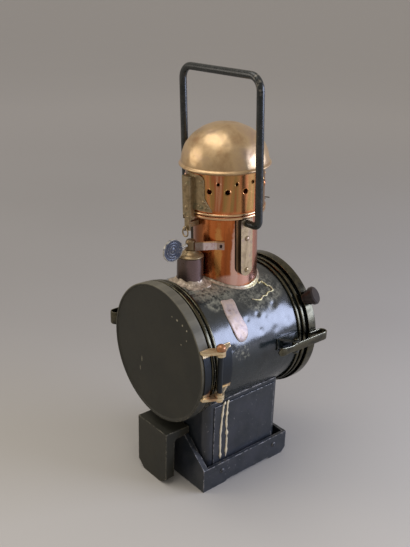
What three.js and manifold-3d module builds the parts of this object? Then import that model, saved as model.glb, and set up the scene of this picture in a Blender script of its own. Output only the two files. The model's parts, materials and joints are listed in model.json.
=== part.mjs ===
// Railway oil lamp: a sheet-metal drum on a square oil well and iron base, with a copper chimney,
// a hinged domed hood, a carrying bail, a blank door at -Y and a lens door at +Y.
// Millimetres, +Z up. The origin is on the ground under the middle of the lamp.
import * as THREE from 'three';
import { mergeVertices } from 'three/addons/utils/BufferGeometryUtils.js';
import Module from 'manifold-3d';

const wasm = await Module();
wasm.setup();

// Clearances, cutting overrun and facet counts
const seatGap = 0.3;          // between a piece and what it rests on
const runningGap = 0.25;      // round a pin or spindle, on the radius
const overrun = 3;            // how far a cutting body runs past the metal
const weldDistance = 0.0001;  // corners nearer than this are one corner
const drumSides = 40;
const stackSides = 32;
const smallSides = 12;
const rivetSides = 10;

// Whole lamp
const sheet = 1.5;            // thickness of the body sheet
const stackY = 13.5;          // middle of the chimney's foot on the drum
const stackLean = THREE.MathUtils.degToRad(3);  // chimney, hood and bail lean towards -Y

// Iron base
const frameHalfWidth = 71.4;
const frameHalfDepth = 75;
const frameWall = 4.5;
const frameHeight = 33;
const frontPlateWall = 7;
const footLift = 2.5;
const frontFootLength = 38;
const rearFootLength = 30;
const footSlope = 2.5;
const heelChamfer = 7;
const floorZ = 5;
const floorWall = 3;
const rivetHeadRadius = 3.4;
const rivetShankRadius = 1.8;
const rivetHeadHeight = 2.2;
const frameRivetZ = 21;
const frameRivetFrontInset = 31.5;
const frameRivetRearInset = 24.5;

// Socket for the lamp iron
const socketHalfWidth = 30.5;
const socketReach = 29.7;     // from the frame's front to the socket's face
const socketDepth = 13.5;
const socketRise = 45;        // from the frame's top to the socket's top
const socketTopWall = 12;
const socketSkin = 2.5;
const socketCornerWide = 13;
const socketCornerHigh = 10;
const socketInnerRadius = 6;
const socketLap = 1;          // how far its back is rebated over the frame's plate
const socketTopZ = frameHeight + socketRise;
const socketFrontY = -frameHalfDepth - socketReach;

// Oil well, standing on the floor inside the frame
const wellSideGap = 3.9;
const wellFrontGap = 2;
const wellRearGap = 8.5;
const wellCorner = 10;
const wellMouthInset = 7;
const wellHalfWidth = frameHalfWidth - frameWall - wellSideGap;
const wellFrontY = -frameHalfDepth + frontPlateWall + wellFrontGap;
const wellRearY = frameHalfDepth - frameWall - wellRearGap;
const wellFloorZ = floorZ + floorWall + seatGap;

// Rings round the drum's ends, measured inwards from each mouth
const stopRingStart = 11.8;
const stopRingWidth = 5.2;
const stopRingRise = 3.4;
const beadRingStart = 20;
const beadRingWidth = 4;
const beadRingRise = 2.2;
const ringEase = 0.9;
const ringsEnd = beadRingStart + beadRingWidth;

// Drum: its rings stay clear of the well, and its underside clear of the socket
const drumRadius = 86;
const drumLift = 17;          // from the socket's top to the drum's underside
const frontRingToWell = 4;
const rearRingToWell = 5.5;
const drumBottomZ = socketTopZ + drumLift;
const drumAxisZ = drumBottomZ + drumRadius;
const drumTopZ = drumAxisZ + drumRadius;
const drumFrontY = wellFrontY - frontRingToWell - ringsEnd;
const drumRearY = wellRearY + rearRingToWell + ringsEnd;
const drumLength = drumRearY - drumFrontY;

// Panel on the well's side
const panelWall = 1;
const panelFrontInset = 12;
const panelRearInset = 10;
const panelBottomZ = 14;
const panelRise = 21;         // above the drum's underside
const panelTopZ = drumBottomZ + panelRise;

// Doors: how far the rim stands outside the drum and past the mouth, and how far it laps over it
const frontRimStand = 4;
const lensRimStand = 6.5;
const doorFaceStand = 3;
const doorLap = 9.6;
const doorLip = 1.2;
const doorLipWidth = 2.5;
const frontRimRadius = drumRadius + frontRimStand;
const lensRimRadius = drumRadius + lensRimStand;

// Door hinges: the pin stands outside the rim and behind the mouth
const hingePinRadius = 3.25;
const hingePinStandX = 5;
const hingePinSetback = 18.8;
const hingeEyeRadius = 6;
const lugWall = 3.2;
const upperLugRise = 33;      // from the drum's axis up to the upper lug
const lowerLugDrop = 28;      // from the drum's axis down to the lower lug
const lugArmWidth = 13;
const hingeHeadRadius = 5.75;
const hingeHeadHeight = 6;
const hingeFootRadius = 4.6;
const hingeFootHeight = 3;
const bracketReach = 21;
const leafStrapWall = 1.2;
const leafStrapStand = 1;
const upperLugZ = drumAxisZ + upperLugRise;
const lowerLugZ = drumAxisZ - lowerLugDrop;

// Hairpin latches beside the rims
const latchStrip = 2.2;
const latchLoopWidth = 13.2;
const frontLatchRise = 12;    // above the drum's axis
const lensLatchRise = 7;
const lensLatchHeight = 11;
const frontLatchHeight = 17;
const lensLatchStand = 13.2;  // how far the loop reaches past the mouth
const frontLatchStand = 5.7;
const latchPivotSetback = 45;
const latchPivotInset = 5;
const latchTailLength = 32;
const latchReturnLength = 17;
const latchEyeRadius = 4.8;
const latchPinRadius = 2;
const latchPinHead = 3.4;
const latchPinHeadHeight = 1.6;
const latchEarWall = 2.5;
const latchEarHalfBase = 18;
const frontLatchZ = drumAxisZ + frontLatchRise;
const lensLatchZ = drumAxisZ + lensLatchRise;
const latchReachX = lensRimRadius + seatGap + latchLoopWidth;

// Lens door
const lensInset = 14.5;       // from the drum's bore to the glass
const lensLap = 4;            // how far the bezel covers the glass
const lensEdge = 3;
const lensBulge = 8;
const lensEase = 1.2;
const retainerOverlap = 8;
const retainerStand = 2;
const retainerWall = 2;
const lensRadius = drumRadius - sheet - lensInset;
const lensOpening = lensRadius - lensLap;
const retainerInner = lensRadius - retainerOverlap;
const retainerOuter = lensRadius + retainerStand;
const pullAngle = THREE.MathUtils.degToRad(34.6);
const pullTilt = THREE.MathUtils.degToRad(22);  // out of the rim's plane, towards the lens side
const pullInset = 3.5;
const pullFootDepth = 4;      // before its foot is cut to the rim's curve
const pullNeckRadius = 7.5;
const pullNeckHeight = 2.5;
const pullCollarRadius = 10;
const pullCollarHeight = 5.5;
const pullCapRadius = 12;
const pullCapHeight = 6.5;
const pullEase = 1.8;

// Reflector on the inside of the blank door
const reflectorInset = 14.5;  // from the drum's bore
const reflectorDepth = 10;
const reflectorWall = 1.2;
const reflectorBoss = 10;
const reflectorBossHeight = 3;
const reflectorRadius = drumRadius - sheet - reflectorInset;

// Chimney, its collar and the flue inside
const chimneyRadius = 40.5;
const chimneyWall = 1.5;
const chimneyHeight = 91;     // above the drum's top
const chimneySeat = 2;
const chimneyTopZ = drumTopZ + chimneyHeight;
const collarDrop = 7;         // from the chimney's top to the collar's underside
const collarHeight = 4;
const collarStand = 1;
const collarEase = 1.1;
const collarZ = chimneyTopZ - collarDrop;
const flueRadius = 28;
const flueWall = 1.2;
const flueDip = 5;            // how far it reaches down into the drum
const flueTopDrop = 18.5;
const flueBottomZ = drumTopZ - flueDip;
const flueTopZ = chimneyTopZ - flueTopDrop;

// Hood: perforated gallery under a dome
const galleryStep = 8.5;      // how far it stands outside the chimney
const galleryWall = 1.2;
const galleryHeight = 54.7;
const galleryBeadHeight = 3.7;
const galleryBeadRise = 1.5;
const galleryRadius = chimneyRadius + galleryStep;
const collarRadius = galleryRadius + collarStand;
const galleryBottomZ = collarZ + collarHeight + seatGap;
const galleryTopZ = galleryBottomZ + galleryHeight;
const ventCount = 14;
const upperVentRadius = 2;
const upperVentDrop = 14.5;   // from the gallery's top
const lowerVentRadius = 3.15;
const lowerVentDrop = 24;
const upperVentAngle = THREE.MathUtils.degToRad(-51);
const ventSides = 8;
const domeStand = 5.2;
const domeRimStand = 2.6;
const domeRimLift = 0.5;
const domeRimHalf = 2.9;
const domeHeight = 49;
const domeWall = 1.4;
const domeArcSteps = 7;
const domeRadius = galleryRadius + domeStand;
const domeRimRadius = domeRadius + domeRimStand;
const domeRimZ = galleryTopZ + domeRimLift;
const domeTopZ = domeRimZ + domeHeight;

// Hood hinge at the back
const hoodPinRadius = 1.5;
const hoodPinStand = 5.5;
const hoodKnuckleRadius = 3.3;
const hoodKnuckleHalf = 5.3;
const hoodLeafHalf = 11;
const hoodLeafWall = 1.6;
const lowerLeafLength = 32;
const upperLeafDrop = 24;     // from the gallery's top to the leaf's top
const splitLegLength = 8;
const splitLegRadius = 0.7;
const splitLegAngle = THREE.MathUtils.degToRad(30);

// Hood latch at the front
const strapWall = 1.3;
const strapTopDrop = 5;
const strapFootRise = 5.7;
const strapHalfWidth = 16;
const strapWingX = 25;
const strapWingHeight = 16;
const strapShoulder = 8;
const ribLeftX = -13;
const ribRightX = 1;
const ribStand = 10;
const ribTopDrop = 3;
const ribOverhang = 2.5;      // how far it reaches below the collar
const ribCheek = 2.2;
const ribEase = 3;
const tonguePinRadius = 1;
const tonguePinRise = 1;
const tonguePinInset = 3;
const tongueKnuckle = 2.4;
const tongueWall = 2.5;
const tongueLength = 18;
const ringRadius = 5;
const ringWire = 0.9;
const ringWireSides = 6;
const ringSides = 16;
const ringEyeRadius = 3.2;    // of the eye on the tongue's front that the ring hangs in
const ringEyeHalf = 1;
const ringEyeStand = 2.6;
const keeperHalf = 3.5;
const keeperRise = 4;
const keeperHeight = 7;
const latchRivetRadius = 2.1;
const latchRivetHeight = 1.4;
const strapTopZ = galleryTopZ - strapTopDrop;
const strapBottomZ = galleryBottomZ + strapFootRise;
const strapWingTopZ = strapBottomZ + strapWingHeight;
const ribTopZ = strapTopZ - ribTopDrop;
const ribBottomZ = collarZ - ribOverhang;
const tonguePinZ = collarZ + tonguePinRise;
const tongueBottomZ = tonguePinZ - tongueLength;
const keeperZ = tongueBottomZ + keeperRise;

// Bail and its brackets
const bailRadius = 4.75;
const bailSideGap = 6.95;     // between the dome's rim and the bar
const bailHeight = 174;       // from the pivot to the middle of the top bar
const bailSetForward = 8;     // from the chimney's axis to the pivots
const bailPivotDrop = 5.5;
const bailTopBend = 16;
const bailFootBend = 8;
const bailBendSteps = 6;
const bailPinRadius = 2.5;
const bailHeadRadius = 3.2;
const bailHeadWidth = 1.8;
const bailHalfWidth = domeRimRadius + bailSideGap + bailRadius;
const bailPivotZ = collarZ - bailPivotDrop;
const bailTopZ = bailPivotZ + bailHeight;
const bailY = stackY - bailSetForward;
const saddleHalf = 9.3;
const saddleLift = 10;
const saddleStand = 6;
const saddlePlate = 2;
const saddleFold = 1.5;
const saddleUpperRivetDrop = 25;
const saddleLowerRivetRise = 8;
const saddleTopGap = 0.5;
const saddleBottomZ = drumTopZ + saddleLift;

// Shade spindle on top of the drum
const spindleTubeRadius = 16.7;
const spindleTubeWall = 1.4;
const spindleTubeHeight = 32; // above the drum's top
const glandHeight = 8.5;
const glandNeckRadius = 7.6;
const glandShoulderRadius = 11;
const glandRimHeight = 1.5;
const glandShoulderHeight = 3.2;
const glandNeckHeight = 6.5;
const spindleRadius = 3;
const spindleHeadRadius = 6.5;
const spindleHeadHeight = 12.7;
const spindleTubeTopZ = drumTopZ + spindleTubeHeight;
const glandTopZ = spindleTubeTopZ + glandHeight;
const thumbDiscRadius = 14.5;
const thumbDiscWall = 2.5;
const thumbDiscReach = 27.5;
const thumbDiscDrop = 2.5;
const thumbArmHeight = 8;
const shadeRadius = 26;
const shadeRim = 2.4;
const shadeWidth = 5;
const shadeGlassWall = 2.4;
const springWall = 1.2;
const springHeight = 11;
const springRise = 3.5;       // from the gland's top
const springStart = THREE.MathUtils.degToRad(-62);
const springEnd = THREE.MathUtils.degToRad(-43);

// Patch soldered to the drum; its edges' heights are shares of the drum's outside above the axis
const patchWall = 1;
const patchFrontY = -40;
const patchRearY = -12;
const patchEdgeShares = [0.35, 0.804];
const patchSteps = 6;

// Font, burner, wick and glass
const fontSideGap = 9.5;
const fontEndGap = 8;
const fontTopDrop = 7;        // below the drum's underside
const fontWall = 1;
const burnerBaseRadius = 20;
const burnerBaseHeight = 6;
const burnerNeckRadius = 13;
const burnerPlateWall = 3;
const burnerPlateRadius = 24;
const burnerTopRadius = 11;
const burnerTopDrop = 21;     // below the drum's axis
const burnerConeHeight = 17;
const wickHalfWidth = 6;
const wickHalfThick = 1.3;
const wickStand = 3;
const wickLength = 120;
const winderDrop = 15;        // below the burner's plate
const winderShaft = 1.6;
const winderReach = 30;
const winderKnobRadius = 8;
const winderKnobWidth = 5;
const glassWall = 1.8;
const glassFootRadius = 17;
const glassBellyRadius = 21;
const glassMouthRadius = 14;
const glassTopDrop = 7;       // below the flue
const glassBellyShare = 0.25;
const glassNeckShare = 0.6;
const fontTopZ = drumBottomZ - fontTopDrop;
const burnerTopZ = drumAxisZ - burnerTopDrop;
const burnerPlateZ = burnerTopZ - burnerConeHeight;
const winderZ = burnerPlateZ - winderDrop;
const glassTopZ = flueBottomZ - glassTopDrop;

// Shape helpers

// One closed body: shared corners merged, collapsed triangles dropped, faces turned outwards.
function closedBody(geometry) {
  const bare = new THREE.BufferGeometry();
  bare.setAttribute('position', geometry.getAttribute('position').clone());
  if (geometry.index) bare.setIndex(geometry.index.clone());
  const merged = mergeVertices(bare, weldDistance);
  const position = merged.getAttribute('position');
  const corners = merged.index.array;
  const kept = [];
  const [a, b, c] = [new THREE.Vector3(), new THREE.Vector3(), new THREE.Vector3()];
  let volume = 0;
  for (let i = 0; i < corners.length; i += 3) {
    const [p, q, r] = [corners[i], corners[i + 1], corners[i + 2]];
    if (p === q || q === r || r === p) continue;
    kept.push(p, q, r);
    a.fromBufferAttribute(position, p);
    b.fromBufferAttribute(position, q);
    c.fromBufferAttribute(position, r);
    volume += a.dot(b.cross(c));
  }
  if (volume < 0) {
    for (let i = 0; i < kept.length; i += 3) [kept[i], kept[i + 1]] = [kept[i + 1], kept[i]];
  }
  merged.setIndex(kept);
  return merged;
}

function solidOf(geometry) {
  const body = closedBody(geometry);
  const vertProperties = new Float32Array(body.getAttribute('position').array);
  const triVerts = new Uint32Array(body.index.array);
  return new wasm.Manifold(new wasm.Mesh({ numProp: 3, vertProperties, triVerts }));
}

function geometryOf(solid) {
  const mesh = solid.getMesh();
  const geometry = new THREE.BufferGeometry();
  const corners = new Float32Array(mesh.triVerts.length * 3);
  mesh.triVerts.forEach((corner, i) => {
    for (let k = 0; k < 3; k += 1) corners[i * 3 + k] = mesh.vertProperties[corner * mesh.numProp + k];
  });
  geometry.setAttribute('position', new THREE.BufferAttribute(corners, 3));
  return geometry;
}

function join(first, ...others) {
  return geometryOf(others.reduce((sum, other) => sum.add(solidOf(other)), solidOf(first)));
}

function cut(first, ...tools) {
  return geometryOf(tools.reduce((rest, tool) => rest.subtract(solidOf(tool)), solidOf(first)));
}

const common = (first, second) => geometryOf(solidOf(first).intersect(solidOf(second)));

function at(geometry, x, y, z) {
  return geometry.clone().translate(x, y, z);
}

function rod(axis, radius, start, end, sides = smallSides) {
  const geometry = new THREE.CylinderGeometry(radius, radius, end - start, sides);
  const middle = (start + end) / 2;
  if (axis === 'x') return geometry.rotateZ(-Math.PI / 2).translate(middle, 0, 0);
  if (axis === 'z') return geometry.rotateX(Math.PI / 2).translate(0, 0, middle);
  return geometry.translate(0, middle, 0);
}

function block(x0, x1, y0, y1, z0, z1) {
  const geometry = new THREE.BoxGeometry(x1 - x0, y1 - y0, z1 - z0);
  return geometry.translate((x0 + x1) / 2, (y0 + y1) / 2, (z0 + z1) / 2);
}

// An outline pushed along an axis: (y, z) along x, (x, z) along y, (x, y) along z.
function pushed(axis, outline, start, end, arcSteps = 6) {
  const corners = Array.isArray(outline) && outline.map(([u, v]) => new THREE.Vector2(u, v));
  const shape = corners ? new THREE.Shape(corners) : outline;
  const settings = { depth: end - start, bevelEnabled: false, curveSegments: arcSteps };
  const geometry = new THREE.ExtrudeGeometry(shape, settings);
  const position = geometry.getAttribute('position');
  for (let i = 0; i < position.count; i += 1) {
    const [u, v, w] = [position.getX(i), position.getY(i), position.getZ(i) + start];
    if (axis === 'x') position.setXYZ(i, w, u, v);
    if (axis === 'y') position.setXYZ(i, u, w, v);
    if (axis === 'z') position.setXYZ(i, u, v, w);
  }
  return geometry;
}

// A profile of [radius, height] turned round an axis; one that stays off the axis closes on itself.
function turned(axis, profile, sides) {
  const points = profile.map(([radius, height]) => new THREE.Vector2(radius, height));
  if (profile[0][0] > 0) points.push(points[0].clone());
  const geometry = new THREE.LatheGeometry(points, sides);
  return axis === 'z' ? geometry.rotateX(Math.PI / 2) : geometry;
}

function roundedRectangle(x0, x1, y0, y1, radius) {
  const shape = new THREE.Shape();
  shape.absarc(x1 - radius, y1 - radius, radius, 0, Math.PI / 2);
  shape.absarc(x0 + radius, y1 - radius, radius, Math.PI / 2, Math.PI);
  shape.absarc(x0 + radius, y0 + radius, radius, Math.PI, Math.PI * 1.5);
  shape.absarc(x1 - radius, y0 + radius, radius, Math.PI * 1.5, Math.PI * 2);
  return shape;
}

// A path with one station for each step, for a bar that is straight between its bends.
class StationPath extends THREE.Curve {
  constructor(stations) {
    super();
    this.stations = stations;
  }

  getPoint(t) {
    const last = this.stations.length - 1;
    const index = Math.min(Math.floor(t * last + weldDistance), last - 1);
    return this.stations[index].clone().lerp(this.stations[index + 1], t * last - index);
  }

  getPointAt(u) {
    return this.getPoint(u);
  }

  getTangentAt(u) {
    const last = this.stations.length - 1;
    const index = Math.round(u * last);
    const before = this.stations[Math.max(index - 1, 0)];
    const after = this.stations[Math.min(index + 1, last)];
    return after.clone().sub(before).normalize();
  }
}

function bentBar(stations, radius, sides) {
  const section = new THREE.Shape().absarc(0, 0, radius, 0, Math.PI * 2);
  const extrudePath = new StationPath(stations);
  const settings = { steps: stations.length - 1, curveSegments: sides / 2, extrudePath };
  return new THREE.ExtrudeGeometry(section, settings);
}

// A domed rivet standing on z = 0, with its shank reaching down.
function rivet(headRadius, headHeight, shankRadius, shankLength) {
  const steps = 3;
  const profile = [[0, -shankLength], [shankRadius, -shankLength], [shankRadius, 0], [headRadius, 0]];
  for (let i = 1; i < steps; i += 1) {
    const turn = (i / steps) * Math.PI / 2;
    profile.push([headRadius * Math.cos(turn), headHeight * Math.sin(turn)]);
  }
  profile.push([0, headHeight]);
  return turned('z', profile, rivetSides);
}

// A plate bent round the drum's axis on the +X side, between two heights
function bentPlate(inner, wall, lowZ, highZ, y0, y1, arcSteps = patchSteps) {
  const [low, high] = [lowZ, highZ].map((z) => Math.asin((z - drumAxisZ) / inner));
  const shape = new THREE.Shape();
  shape.absarc(0, drumAxisZ, inner + wall, low, high);
  shape.absarc(0, drumAxisZ, inner, high, low, true);
  return pushed('y', shape, y0, y1, arcSteps);
}

const lamp = new THREE.Group();
const frontEnd = new THREE.Group();
const lensEnd = new THREE.Group();
lensEnd.rotation.z = Math.PI;
lamp.add(frontEnd, lensEnd);

function piece(name, geometry, colour, roughness, metalness, parent = lamp) {
  const body = closedBody(geometry);
  body.computeVertexNormals();
  const material = new THREE.MeshStandardMaterial({ color: colour, roughness, metalness, flatShading: true });
  const mesh = new THREE.Mesh(body, material);
  mesh.name = name;
  parent.add(mesh);
  return mesh;
}

// Colours of the finishes
const slatePaint = '#3d424b';
const drumPaint = '#333b39';
const olivePaint = '#37322a';
const copper = '#b06a38';
const paleCopper = '#bd9f96';
const bronze = '#b2926a';
const brass = '#bea57d';
const agedIron = '#5a5650';
const steelGrey = '#a5968a';
const blackIron = '#2b2f2c';

// Solids that several pieces are cut by
const drumAround = (radius) => at(rod('y', radius, -drumLength, drumLength, drumSides), 0, 0, drumAxisZ);
const drumSeat = drumAround(drumRadius + seatGap);
const chimneySeatCut = at(rod('z', chimneyRadius + seatGap, drumAxisZ, bailTopZ, stackSides), 0, stackY, 0);

// Leans a piece that is drawn upright about the middle of the chimney's foot
const leaned = (geometry) =>
  geometry.translate(0, -stackY, -drumTopZ).rotateX(stackLean).translate(0, stackY, drumTopZ);

// Base: one iron frame with a raised front plate, feet, floor and rivets
const frameRivetPlaces = [-frameHalfDepth + frameRivetFrontInset, frameHalfDepth - frameRivetRearInset];

function baseFrame() {
  const [w, d] = [frameHalfWidth, frameHalfDepth];
  const ring = cut(
    block(-w, w, -d, d, 0, frameHeight),
    block(-w + frameWall, w - frameWall, -d + frontPlateWall, d - frameWall, -overrun, frameHeight + overrun),
  );
  const plateTop = socketTopZ - socketTopWall + socketLap - seatGap;
  const plate = pushed('y', [
    [-w, 0], [w, 0], [w, frameHeight], [socketHalfWidth, plateTop],
    [-socketHalfWidth, plateTop], [-w, frameHeight],
  ], -d, -d + frontPlateWall);
  const arch = pushed('x', [
    [-d + frontFootLength, -overrun], [-d + frontFootLength, 0], [-d + frontFootLength + footSlope, footLift],
    [d - rearFootLength - footSlope, footLift], [d - rearFootLength, 0], [d - rearFootLength, -overrun],
  ], -w - overrun, w + overrun);
  const heel = pushed('x', [
    [d - heelChamfer - overrun, -overrun], [d + overrun, -overrun], [d + overrun, heelChamfer + overrun],
  ], -w - overrun, w + overrun);
  const holes = frameRivetPlaces.map((y) =>
    at(rod('x', rivetShankRadius + seatGap, -w - overrun, w + overrun, rivetSides), 0, y, frameRivetZ));
  return cut(join(ring, plate), arch, heel, ...holes);
}

function baseFloor() {
  const inner = frameHalfWidth - frameWall - seatGap;
  const front = -frameHalfDepth + frontPlateWall + seatGap;
  return block(-inner, inner, front, frameHalfDepth - frameWall - seatGap, floorZ, floorZ + floorWall);
}

function baseRivet(side, y) {
  const head = rivet(rivetHeadRadius, rivetHeadHeight, rivetShankRadius, frameWall + seatGap);
  return at(head.rotateY(side * Math.PI / 2), side * (frameHalfWidth + seatGap), y, frameRivetZ);
}

function lampIronSocket() {
  const [w, front, legBack] = [socketHalfWidth, socketFrontY, socketFrontY + socketDepth];
  const under = socketTopZ - socketTopWall;
  const [lapY, back] = [-frameHalfDepth - seatGap, -frameHalfDepth + frontPlateWall];
  const side = new THREE.Shape();
  side.moveTo(front, 0);
  side.lineTo(legBack, 0);
  side.lineTo(legBack, under - socketInnerRadius);
  const bend = socketInnerRadius;
  side.absarc(legBack + bend, under - bend, bend, Math.PI, Math.PI / 2, true);
  side.lineTo(lapY, under);
  side.lineTo(lapY, under + socketLap);
  side.lineTo(back, under + socketLap);
  side.lineTo(back, socketTopZ);
  side.lineTo(front, socketTopZ);
  const hook = pushed('x', side, -w, w);
  const corner = (sign) => pushed('y', [
    [sign * (w - socketCornerWide), -overrun], [sign * (w + overrun), -overrun],
    [sign * (w + overrun), socketCornerHigh], [sign * w, socketCornerHigh],
    [sign * (w - socketCornerWide), 0],
  ], front - overrun, legBack + overrun);
  const pocket = block(
    -w + socketSkin, w - socketSkin, front + socketSkin, legBack + overrun,
    socketCornerHigh + socketSkin, under - socketInnerRadius - socketSkin,
  );
  return cut(hook, corner(1), corner(-1), pocket);
}

piece('base_frame', baseFrame(), slatePaint, 0.55, 0.4);
piece('base_floor', baseFloor(), slatePaint, 0.7, 0.3);
for (const [end, y] of [['front', frameRivetPlaces[0]], ['rear', frameRivetPlaces[1]]]) {
  piece(`base_rivet_${end}_right`, baseRivet(1, y), slatePaint, 0.5, 0.5);
  piece(`base_rivet_${end}_left`, baseRivet(-1, y), slatePaint, 0.5, 0.5);
}
piece('lamp_iron_socket', lampIronSocket(), olivePaint, 0.6, 0.3);

// Oil well, closed below, saddled to the drum above
function wellHousing() {
  const outer = roundedRectangle(-wellHalfWidth, wellHalfWidth, wellFrontY, wellRearY, wellCorner);
  const inner = roundedRectangle(
    -wellHalfWidth + sheet, wellHalfWidth - sheet, wellFrontY + sheet, wellRearY - sheet, wellCorner - sheet,
  );
  const box = pushed('z', outer, wellFloorZ, drumAxisZ);
  return cut(box, pushed('z', inner, wellFloorZ + sheet, drumAxisZ + overrun), drumSeat);
}

function wellSidePanel() {
  const x = wellHalfWidth + seatGap;
  const [front, rear] = [wellFrontY + panelFrontInset, wellRearY - panelRearInset];
  return block(x, x + panelWall, front, rear, panelBottomZ, panelTopZ);
}

piece('well_housing', wellHousing(), slatePaint, 0.45, 0.4);
piece('well_side_panel', wellSidePanel(), slatePaint, 0.45, 0.4);

// Drum shell with openings for the well, the chimney and the spindle
const chimneyRun = Math.tan(stackLean) * (spindleTubeHeight + seatGap + glandRimHeight);
const spindleY = stackY - chimneyRadius - chimneyRun - spindleTubeRadius - seatGap;

function drumShell() {
  const shell = turned('y', [
    [drumRadius - sheet, drumFrontY], [drumRadius, drumFrontY],
    [drumRadius, drumRearY], [drumRadius - sheet, drumRearY],
  ], drumSides).translate(0, 0, drumAxisZ);
  const mouth = block(
    -wellHalfWidth + wellMouthInset, wellHalfWidth - wellMouthInset,
    wellFrontY + wellMouthInset, wellRearY - wellMouthInset, 0, drumAxisZ,
  );
  const top = drumAxisZ + drumRadius + overrun;
  const draughtRadius = chimneyRadius - chimneyWall - chimneySeat;
  const draught = at(rod('z', draughtRadius, drumAxisZ, top, stackSides), 0, stackY, 0);
  const spindleHole = at(rod('z', spindleRadius + runningGap + overrun, drumAxisZ, top), 0, spindleY, 0);
  return cut(shell, mouth, draught, spindleHole);
}

// A ring round the drum, with eased outer corners
function drumRing(mouthY, inwards, start, width, rise) {
  const inner = drumRadius + seatGap;
  const [y0, y1] = [mouthY + inwards * start, mouthY + inwards * (start + width)];
  return turned('y', [
    [inner, y0], [inner + rise - ringEase, y0], [inner + rise, y0 + inwards * ringEase],
    [inner + rise, y1 - inwards * ringEase], [inner + rise - ringEase, y1], [inner, y1],
  ], drumSides).translate(0, 0, drumAxisZ);
}

function repairPatch() {
  const inner = drumRadius + seatGap;
  const [low, high] = patchEdgeShares.map((share) => drumAxisZ + inner * share);
  return bentPlate(inner, patchWall, low, high, patchFrontY, patchRearY);
}

piece('drum_shell', drumShell(), drumPaint, 0.25, 0.4);
for (const [end, mouthY, inwards] of [['front', drumFrontY, 1], ['rear', drumRearY, -1]]) {
  const stop = drumRing(mouthY, inwards, stopRingStart, stopRingWidth, stopRingRise);
  const bead = drumRing(mouthY, inwards, beadRingStart, beadRingWidth, beadRingRise);
  piece(`${end}_stop_ring`, stop, agedIron, 0.4, 0.6);
  piece(`${end}_bead_ring`, bead, agedIron, 0.4, 0.6);
}
piece('repair_patch', repairPatch(), paleCopper, 0.4, 0.8);

// Ends of the drum. Both are drawn as the -Y end; the lens end is turned half round.
const frontMouth = drumFrontY;
const lensMouth = -drumRearY;
const pinPlace = (rimRadius, mouthY) => [rimRadius + hingePinStandX, mouthY + hingePinSetback];

// Door leaf: at two levels an eye on the pin and an arm to the rim, joined by a strap along the rim
function doorLeaf(rimRadius, mouthY) {
  const [pinX, pinY] = pinPlace(rimRadius, mouthY);
  const rimFront = mouthY - doorFaceStand;
  const arm = [
    [pinX + hingeEyeRadius, pinY], [pinX, pinY], [pinX - hingeEyeRadius, pinY],
    [pinX - hingeEyeRadius - lugArmWidth, mouthY + doorLap - lugWall],
    [pinX - hingeEyeRadius - lugArmWidth, rimFront], [pinX - hingePinStandX, rimFront],
  ];
  const level = (z) => cut(
    join(pushed('z', arm, z, z + lugWall), at(rod('z', hingeEyeRadius, z, z + lugWall), pinX, pinY, 0)),
    drumAround(rimRadius + seatGap),
    at(rod('z', hingePinRadius + runningGap, z - overrun, z + lugWall + overrun), pinX, pinY, 0),
  );
  const strap = bentPlate(rimRadius + seatGap, leafStrapWall, lowerLugZ, upperLugZ + lugWall,
    mouthY - leafStrapStand, mouthY + doorLap - leafStrapStand);
  return join(strap, level(upperLugZ), level(lowerLugZ));
}

// Drum leaf inside the door leaf: an eye on the pin and a web to the drum at two levels, and a strap
function drumLeaf(rimRadius, mouthY) {
  const [pinX, pinY] = pinPlace(rimRadius, mouthY);
  const webFront = mouthY + ringsEnd + seatGap;
  const webRear = webFront + bracketReach;
  const webInner = pinX - hingeEyeRadius - lugArmWidth;
  const web = [
    [pinX + hingeEyeRadius / 2, pinY], [pinX, pinY + hingeEyeRadius], [pinX - lugArmWidth, webRear],
    [webInner, webRear], [webInner, webFront], [pinX - hingeEyeRadius, webFront],
    [pinX - hingeEyeRadius / 2, pinY],
  ];
  const level = (z) => {
    const low = z === upperLugZ ? z - seatGap - lugWall : z + lugWall + seatGap;
    const eye = at(rod('z', hingeEyeRadius, low, low + lugWall), pinX, pinY, 0);
    const bore = rod('z', hingePinRadius + runningGap, low - overrun, low + lugWall + overrun);
    return cut(join(pushed('z', web, low, low + lugWall), eye), drumSeat, at(bore, pinX, pinY, 0));
  };
  const strap = bentPlate(drumRadius + seatGap, leafStrapWall,
    lowerLugZ + lugWall + seatGap, upperLugZ - seatGap, webFront, webRear);
  return join(strap, level(upperLugZ), level(lowerLugZ));
}

function hingePin(rimRadius, mouthY) {
  const [pinX, pinY] = pinPlace(rimRadius, mouthY);
  const headZ = upperLugZ + lugWall + seatGap;
  const footZ = lowerLugZ - seatGap;
  const profile = [
    [0, footZ - hingeFootHeight], [hingeFootRadius, footZ - hingeFootHeight], [hingeFootRadius, footZ],
    [hingePinRadius, footZ], [hingePinRadius, headZ], [hingeHeadRadius, headZ],
  ];
  const domeSteps = 4;
  for (let i = 1; i <= domeSteps; i += 1) {
    const turn = (i / domeSteps) * Math.PI / 2;
    profile.push([hingeHeadRadius * Math.cos(turn), headZ + hingeHeadHeight * Math.sin(turn)]);
  }
  profile[profile.length - 1][0] = 0;
  return at(turned('z', profile, smallSides), pinX, pinY, 0);
}

// Hairpin latch: a straight strip with a tail, an eye on its pin and a loop beside the rim
const latchPivot = (mouthY) => [-latchReachX + latchPivotInset, mouthY + latchPivotSetback];

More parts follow.
